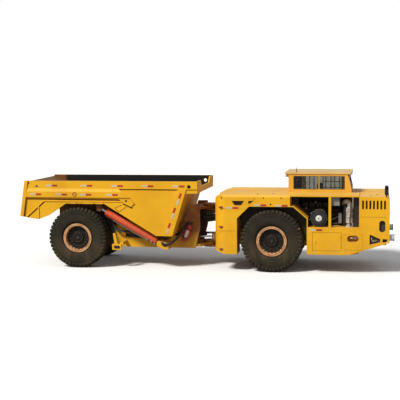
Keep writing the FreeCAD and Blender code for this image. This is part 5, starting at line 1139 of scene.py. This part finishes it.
def make_bottle_fittings():
    """The straps, valve, lever and hose of the fire extinguisher."""
    mesh = bmesh.new()
    for reach in (0.10, 0.33):
        add_rod(mesh, BOTTLE_FOOT + (reach - 0.011) * BOTTLE_ALONG,
                BOTTLE_FOOT + (reach + 0.011) * BOTTLE_ALONG, 0.066, sides=40)
    top = BOTTLE_FOOT + 0.495 * BOTTLE_ALONG
    add_rod(mesh, top - 0.045 * BOTTLE_ALONG, top + 0.012 * BOTTLE_ALONG, 0.029, sides=20)
    add_block(mesh, top + Vector((-0.02, -0.012, 0.010)), top + Vector((0.09, 0.012, 0.022)),
              bevel=0.003)
    add_tube(mesh, [top + Vector((-0.02, -0.02, -0.01)), top + Vector((-0.09, -0.035, -0.07)),
                    BOTTLE_FOOT + 0.30 * BOTTLE_ALONG + Vector((-0.078, -0.02, 0)),
                    BOTTLE_FOOT + 0.12 * BOTTLE_ALONG + Vector((-0.075, -0.015, 0))], 0.010)
    finish_piece("extinguisher_fittings", mesh, "rear_half", "black_plastic", smooth=35)


# ---- Hoses

HINGE_HOSES = 12
HINGE_ROW = 4
REAR_WALL = FRONT_AXLE - 1.32
NECK_FACE = HINGE - 0.30


def make_hinge_hoses():
    """Hoses that cross the hinge between the tractor's rear wall and the rear frame."""
    for index in range(HINGE_HOSES):
        row, column = divmod(index, HINGE_ROW)
        y = -0.22 + 0.147 * column
        z = 1.355 - 0.095 * row
        sag = 0.030 + 0.018 * ((index * 2) % 3)
        mesh = bmesh.new()
        add_tube(mesh, [(REAR_WALL, y, z), (REAR_WALL - 0.10, y, z - 0.2 * sag),
                        (HINGE, 1.1 * y, z - sag),
                        (NECK_FACE + 0.08, y, z - 0.3 * sag), (NECK_FACE, y, z)], 0.026, steps=12)
        cover = BRIGHT_HOSE if index % 5 == 1 else HOSE
        piece = finish_piece(f"hinge_hose_{index + 1}", mesh, None, "black_plastic",
                             cover, smooth=60)
        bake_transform(piece)


def make_neck_hoses():
    """Hoses that drop down the front of the neck, with their clamp bar."""
    mesh = bmesh.new()
    for k in range(5):
        y = -0.30 + 0.15 * k
        x = HINGE - 0.235 + 0.02 * (k % 2)
        add_tube(mesh, [(x - 0.05, y, 1.22), (x + 0.01, y, 1.15), (x + 0.035, y + 0.01, 1.00),
                        (x + 0.02, y - 0.01, 0.86), (x - 0.03, y, 0.78)], 0.030)
    add_block(mesh, (HINGE - 0.25, -0.36, 1.03), (HINGE - 0.19, 0.36, 1.07), bevel=0.004)
    finish_piece("neck_hoses", mesh, "rear_half", "black_plastic", HOSE, smooth=60)


def add_long_hoses(mesh, side):
    """Three hoses along the frame, up into the neck."""
    for k in range(3):
        out = side * (0.585 + 0.032 * k)
        add_tube(mesh, [from_rear(1.10, side * 0.572, 0.74 + 0.03 * k),
                        from_rear(1.45, out, 0.71 + 0.03 * k),
                        from_rear(1.85, out, 0.66 + 0.04 * k),
                        from_rear(2.15, out, 0.68 + 0.05 * k),
                        from_rear(2.38, out, 0.86 + 0.06 * k),
                        from_rear(2.50, side * 0.565, 1.10 + 0.05 * k)], 0.015)


def add_wheel_hoses(mesh, side):
    """Two hoses that come down ahead of the rear wheel."""
    for k in range(2):
        lift = 0.03 * k
        add_tube(mesh, [from_rear(0.760 + lift, side * 0.640, 1.14),
                        from_rear(0.830 + lift, side * 0.660, 0.98),
                        from_rear(0.950, side * 0.680, 0.875 + lift),
                        from_rear(1.200, side * 0.680, 0.860 + lift),
                        from_rear(1.420, side * 0.600, 0.850 + lift)], 0.017)


def add_hoist_hoses(mesh, side):
    """Three hoses from the hoist cylinder's foot up to the neck."""
    for k in range(3):
        add_tube(mesh, [from_rear(2.110, side * (0.965 - 0.02 * k), 0.665 - 0.03 * k),
                        from_rear(2.190, side * (0.980 - 0.02 * k), 0.625 - 0.03 * k),
                        from_rear(2.300, side * (0.960 - 0.03 * k), 0.635 - 0.02 * k),
                        from_rear(2.440, side * (0.850 - 0.03 * k), 0.730 - 0.01 * k),
                        from_rear(2.560 + 0.02 * k, side * 0.680, 0.900),
                        from_rear(2.680 + 0.02 * k, side * 0.590, 1.120)], 0.020)


def make_frame_hoses(side_name, side):
    """The hoses on one side of the rear frame."""
    mesh = bmesh.new()
    add_long_hoses(mesh, side)
    add_wheel_hoses(mesh, side)
    add_hoist_hoses(mesh, side)
    finish_piece(f"frame_hoses_{side_name}", mesh, "rear_half", "black_plastic", HOSE, smooth=60)


# ---- Rear half and box trim

HOIST_FOOT = from_rear(2.050, 0, 0.620)
HOIST_ALONG = (from_rear(0.522, 0, 1.474) - HOIST_FOOT).normalized()
HOIST_UNDER = HOIST_ALONG.cross(LEFT).normalized()
HOIST_OUT = 0.860
# Painted shadow lines on the box's side: start and end as (ahead of the rear axle, height), width.
SHADOW_LINES = (
    ((-1.300, 1.240), (-0.853, 1.632), 0.034), ((-0.853, 1.638), (0.560, 1.650), 0.026),
    ((0.560, 1.650), (1.120, 1.648), 0.018), ((-1.330, 1.735), (-1.392, 1.262), 0.036),
    ((-0.985, 1.480), (-0.985, 1.195), 0.014), ((1.065, 1.392), (1.272, 1.533), 0.012),
    ((0.970, 1.499), (1.162, 1.578), 0.012), ((1.065, 1.392), (0.970, 1.499), 0.012),
    ((1.180, 1.602), (1.415, 1.493), 0.030), ((1.110, 1.940), (1.490, 1.575), 0.018),
    ((1.100, 1.962), (2.520, 1.950), 0.022), ((-1.310, 1.700), (1.120, 1.690), 0.026),
)
# Outlines of painted shade in the holes at the rail's tail.
TAIL_MARKS = (
    ((-1.345, 2.150), (-1.305, 2.150), (-1.205, 2.118), (-1.325, 1.972),
     (-1.352, 1.972), (-1.262, 2.106)),
    ((-1.075, 2.008), (-0.985, 2.008), (-1.040, 2.062)),
)


def make_hoist_rings(side_name, side):
    """Bands round each hoist cylinder, and its gland."""
    start = HOIST_FOOT + side * HOIST_OUT * LEFT
    mesh = bmesh.new()
    for reach in (0.16, 0.55, 0.95, 1.38):
        add_rod(mesh, start + (reach - 0.013) * HOIST_ALONG, start + (reach + 0.013) * HOIST_ALONG,
                0.0885, sides=44)
    add_rod(mesh, start + 1.40 * HOIST_ALONG, start + 1.475 * HOIST_ALONG, 0.070, sides=40)
    finish_piece(f"hoist_rings_{side_name}", mesh, f"hoist_barrel_{side_name}",
                 "cylinder_red", smooth=35)


def make_hoist_fittings(side_name, side):
    """Bright ports near each hoist cylinder's foot, and the pipe that runs under it."""
    start = HOIST_FOOT + side * HOIST_OUT * LEFT
    out = side * LEFT
    mesh = bmesh.new()
    for reach in (0.10, 0.20, 0.32):
        place = start + reach * HOIST_ALONG + 0.060 * HOIST_UNDER + 0.060 * out
        add_rod(mesh, place, place + 0.045 * out, 0.024, sides=16)
        add_bolt(mesh, place + 0.043 * out, out, size=0.030)
    add_tube(mesh, [start + reach * HOIST_ALONG + drop * HOIST_UNDER + 0.03 * out
                    for reach, drop in ((0.36, 0.085), (0.70, 0.094), (1.30, 0.094))], 0.010)
    finish_piece(f"hoist_fittings_{side_name}", mesh, f"hoist_barrel_{side_name}",
                 "steel_pipe", smooth=35)


def make_arch_tabs(side_name, side):
    """Small plates along the top of the box's wheel arch."""
    arch = 1.595
    mesh = bmesh.new()
    for start, end in ((-0.17, -0.02), (0.16, 0.42), (0.50, 0.68)):
        add_block(mesh, from_rear(start, side * (PLATE_FACE - 0.002), arch - 0.004),
                  from_rear(end, side * (PLATE_FACE + 0.020), arch + 0.030), bevel=0.004)
    finish_piece(f"arch_tabs_{side_name}", mesh, "dump_box", "truck_yellow")


def make_tail_marks(side_name, side):
    """Dark faces of painted shade in the holes at the rail's tail, and in the gusset's pin hole."""
    mesh = bmesh.new()
    for outline in TAIL_MARKS:
        mesh.faces.new([mesh.verts.new(from_rear(x, side * (RAIL_FACE + 0.0012), z))
                        for x, z in outline])
    add_rod(mesh, from_rear(1.258, side * (RAIL_FACE - 0.004), 1.674),
            from_rear(1.258, side * (RAIL_FACE + 0.003), 1.674), 0.026, sides=24)
    finish_piece(f"tail_marks_{side_name}", mesh, "dump_box", "frame_dark")


def make_band_ring(side_name, side):
    """A bare ring on the box's band."""
    mesh = bmesh.new()
    add_hoop(mesh, from_rear(-0.044, side * BAND_FACE, 1.829), AHEAD, UP, 0.044, 0.010, 28)
    finish_piece(f"band_eyelet_{side_name}", mesh, "dump_box", "truck_yellow",
                 HOOK_PAINT, smooth=50)


def make_shadow_lines(side_name, side):
    """Painted shadows along the joints and folds of the box's side plate."""
    mesh = bmesh.new()
    for start, end, wide in SHADOW_LINES:
        add_seam(mesh, (REAR_AXLE + start[0], start[1]), (REAR_AXLE + end[0], end[1]), PLATE_FACE,
                 side, wide)
    finish_piece(f"box_shadow_lines_{side_name}", mesh, "dump_box", "truck_yellow", DEEP_SHADE)


def make_bracket_slot(side_name, side):
    """The slot in the bracket ahead of the rear wheel, drawn as dark painted shade."""
    middle, half, radius = from_rear(0.992, 0, 0.52), 0.045, 0.036
    inner, outer = side * 0.99 * LEFT, side * 1.0015 * LEFT
    mesh = bmesh.new()
    for end in (middle - half * AHEAD, middle + half * AHEAD):
        add_rod(mesh, end + inner, end + outer, radius, sides=28)
    add_block(mesh, middle + inner + Vector((-half, 0, -radius)),
              middle + outer + Vector((half, 0, radius)))
    finish_piece(f"bracket_slot_{side_name}", mesh, "rear_half", "frame_dark")


# ---- Seat

SEAT_X = FRONT_AXLE + 1.20
SEAT_Y = 0.62
SEAT_UP = 1.330
CONSOLE_BACK = FRONT_AXLE + 1.50
STEERING_RADIUS = 0.17


def pulled_in(first, second):
    """How much of its size a pad keeps, less towards its corners."""
    return 1 - 0.10 * (abs(first) ** 6 + abs(second) ** 6) / 2


def add_cushion(mesh, corner, opposite, crown):
    """A crowned closed pad whose sides pull in between its corners, alone in its mesh."""
    first, last = Vector(corner), Vector(opposite)
    middle, half = (first + last) / 2, (last - first) / 2
    made = bmesh.ops.create_cube(mesh, size=2.0)["verts"]
    edges = list({edge for vert in made for edge in vert.link_edges})
    bmesh.ops.subdivide_edges(mesh, edges=edges, cuts=10, use_grid_fill=True)
    for vert in mesh.verts:
        x, y, z = vert.co
        swell = crown * (1 - x * x) * (1 - y * y) * (1 - z * z * 0.2)
        up = z * pulled_in(x, y) * (half.z - crown) + math.copysign(swell, z)
        vert.co = middle + Vector((x * pulled_in(y, z) * half.x, y * pulled_in(x, z) * half.y, up))


def make_seat():
    """The operator's padded seat."""
    cushion = bmesh.new()
    add_cushion(cushion, (SEAT_X - 0.23, SEAT_Y - 0.24, SEAT_UP),
                (SEAT_X + 0.23, SEAT_Y + 0.24, SEAT_UP + 0.13), 0.012)
    base = finish_piece("seat_cushion", cushion, "tractor", "seat_fabric", smooth=60)
    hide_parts("seat")
    back = bmesh.new()
    add_cushion(back, (SEAT_X - 0.23, SEAT_Y - 0.23, SEAT_UP + 0.13),
                (SEAT_X - 0.11, SEAT_Y + 0.23, SEAT_UP + 0.68), 0.010)
    finish_piece("seat_back", back, "tractor", "seat_fabric", smooth=60)


def make_cab_controls():
    """The seat's pillar, the console, and the steering wheel on its column."""
    mesh = bmesh.new()
    floor = low("cab_shell").z + 0.045
    add_block(mesh, (SEAT_X - 0.11, SEAT_Y - 0.11, floor), (SEAT_X + 0.11, SEAT_Y + 0.11, SEAT_UP),
              bevel=0.01)
    add_block(mesh, (CONSOLE_BACK, SEAT_Y - 0.13, floor),
              (CONSOLE_BACK + 0.14, SEAT_Y + 0.13, 1.50), bevel=0.015)
    ring = Vector((CONSOLE_BACK, SEAT_Y, 1.59))
    add_hoop(mesh, ring, AHEAD, LEFT, STEERING_RADIUS, 0.013, 32, sides=10)
    for cosine, sine in circle(3):
        add_rod(mesh, ring, ring + STEERING_RADIUS * (cosine * AHEAD + sine * LEFT),
                0.010, sides=10)
    add_rod(mesh, ring + Vector((0.03, 0, -0.16)), ring, 0.024, sides=20)
    finish_piece("cab_controls", mesh, "tractor", "black_plastic", smooth=35)


# ---- Studio

CAMERA_PLACE = (4.17602, -22.00078, 3.89383)
CAMERA_YAW = 0.196611
CAMERA_PITCH = 0.101574
CAMERA_ROLL = -0.010240
CAMERA_LENS = 80.491
SUN_FROM = Vector((-0.72, -1.0, 1.28))


def make_stage():
    """A floor that the camera sees as nearly white, and that lights the truck's underside less."""
    bpy.ops.mesh.primitive_plane_add(size=240, location=(0, 0, 0))
    floor = bpy.context.object
    floor.name = "studio_floor"
    nodes = Nodes("studio_floor")
    nodes.shade("Base Color", nodes.mix(nodes.ramp(nodes.noise(0.3), 0.3, 0.7),
                                        (0.93, 0.93, 0.93), (0.90, 0.90, 0.90)))
    nodes.uniform(Roughness=0.9, Specular_IOR_Level=0.0)
    ground = nodes.add("BsdfDiffuse")
    ground.inputs["Color"].default_value = (0.30, 0.28, 0.25, 1)
    seen = nodes.add("MixShader")
    nodes.link(nodes.add("LightPath"), "Is Camera Ray", seen, 0)
    nodes.link(ground, 0, seen, 1)
    nodes.link(nodes.shader, 0, seen, 2)
    nodes.link(seen, 0, nodes.output, "Surface")
    floor.data.materials.append(nodes.material)


def make_world():
    """Even pale light, which the camera sees as plain white."""
    world = bpy.data.worlds.new("studio")
    bpy.context.scene.world = world
    world.use_nodes = True
    tree = world.node_tree
    tree.nodes.clear()
    mix = tree.nodes.new("ShaderNodeMixShader")
    for socket, colour, strength in ((1, (0.93, 0.96, 1.0, 1), 0.42), (2, (1, 1, 1, 1), 1.0)):
        light = tree.nodes.new("ShaderNodeBackground")
        light.inputs["Color"].default_value = colour
        light.inputs["Strength"].default_value = strength
        tree.links.new(light.outputs[0], mix.inputs[socket])
    path = tree.nodes.new("ShaderNodeLightPath")
    tree.links.new(path.outputs["Is Camera Ray"], mix.inputs[0])
    output = tree.nodes.new("ShaderNodeOutputWorld")
    tree.links.new(mix.outputs[0], output.inputs["Surface"])


def make_sun():
    """A broad soft key light, high on the camera's side and a little to the rear."""
    data = bpy.data.lights.new("key", "SUN")
    data.energy = 3.6
    data.angle = math.radians(13)
    data.color = (1.0, 0.97, 0.92)
    lamp = bpy.data.objects.new("key", data)
    lamp.rotation_euler = SUN_FROM.to_track_quat("Z", "Y").to_euler()
    bpy.context.scene.collection.objects.link(lamp)


def make_camera():
    """The photograph's view: from the right, a little ahead and above."""
    data = bpy.data.cameras.new("camera")
    data.sensor_width = 36.0
    data.lens = CAMERA_LENS
    data.clip_end = 400.0
    level = Vector((-math.sin(CAMERA_YAW), math.cos(CAMERA_YAW), 0))
    ahead = math.cos(CAMERA_PITCH) * level - math.sin(CAMERA_PITCH) * UP
    right = Vector((math.cos(CAMERA_YAW), math.sin(CAMERA_YAW), 0))
    up = right.cross(ahead)
    turned_right = math.cos(CAMERA_ROLL) * right + math.sin(CAMERA_ROLL) * up
    turned_up = -math.sin(CAMERA_ROLL) * right + math.cos(CAMERA_ROLL) * up
    turn = Matrix((turned_right, turned_up, -ahead)).transposed().to_4x4()
    camera = bpy.data.objects.new("camera", data)
    camera.matrix_world = Matrix.Translation(CAMERA_PLACE) @ turn
    bpy.context.scene.collection.objects.link(camera)
    bpy.context.scene.camera = camera


bpy.context.scene.view_settings.view_transform = "Standard"
dress_frame()
for end_name in ENDS:
    for wheel_side in SIDES:
        make_tyre(end_name, wheel_side)
        make_wheel_trim(end_name, wheel_side)
for make in (make_box_tapes, make_tractor_tapes):
    for name, sign in SIDES.items():
        make(name, sign)
make_seams()
make_tractor_bolts()
make_locker_handle()
make_engine()
make_engine_hoses()
make_air_cleaner_disc()
make_air_cleaner_clips()
make_window_gaskets()
make_lamp_rings()
make_shade_panels()
make_exhaust()
make_pipe_leads()
make_deck_cover()
make_dark_bolts()
make_mirror()
make_window_bars()
make_recess_bars()
make_rear_catches()
make_bay_parts()
make_bottle_label()
make_bottle_fittings()
make_hinge_hoses()
make_neck_hoses()
for name, sign in SIDES.items():
    make_frame_hoses(name, sign)
for name, sign in SIDES.items():
    make_hoist_rings(name, sign)
    make_hoist_fittings(name, sign)
for name, sign in SIDES.items():
    make_arch_tabs(name, sign)
    make_tail_marks(name, sign)
    make_band_ring(name, sign)
    make_shadow_lines(name, sign)
    make_bracket_slot(name, sign)
make_seat()
make_cab_controls()
make_stage()
make_world()
make_sun()
make_camera()
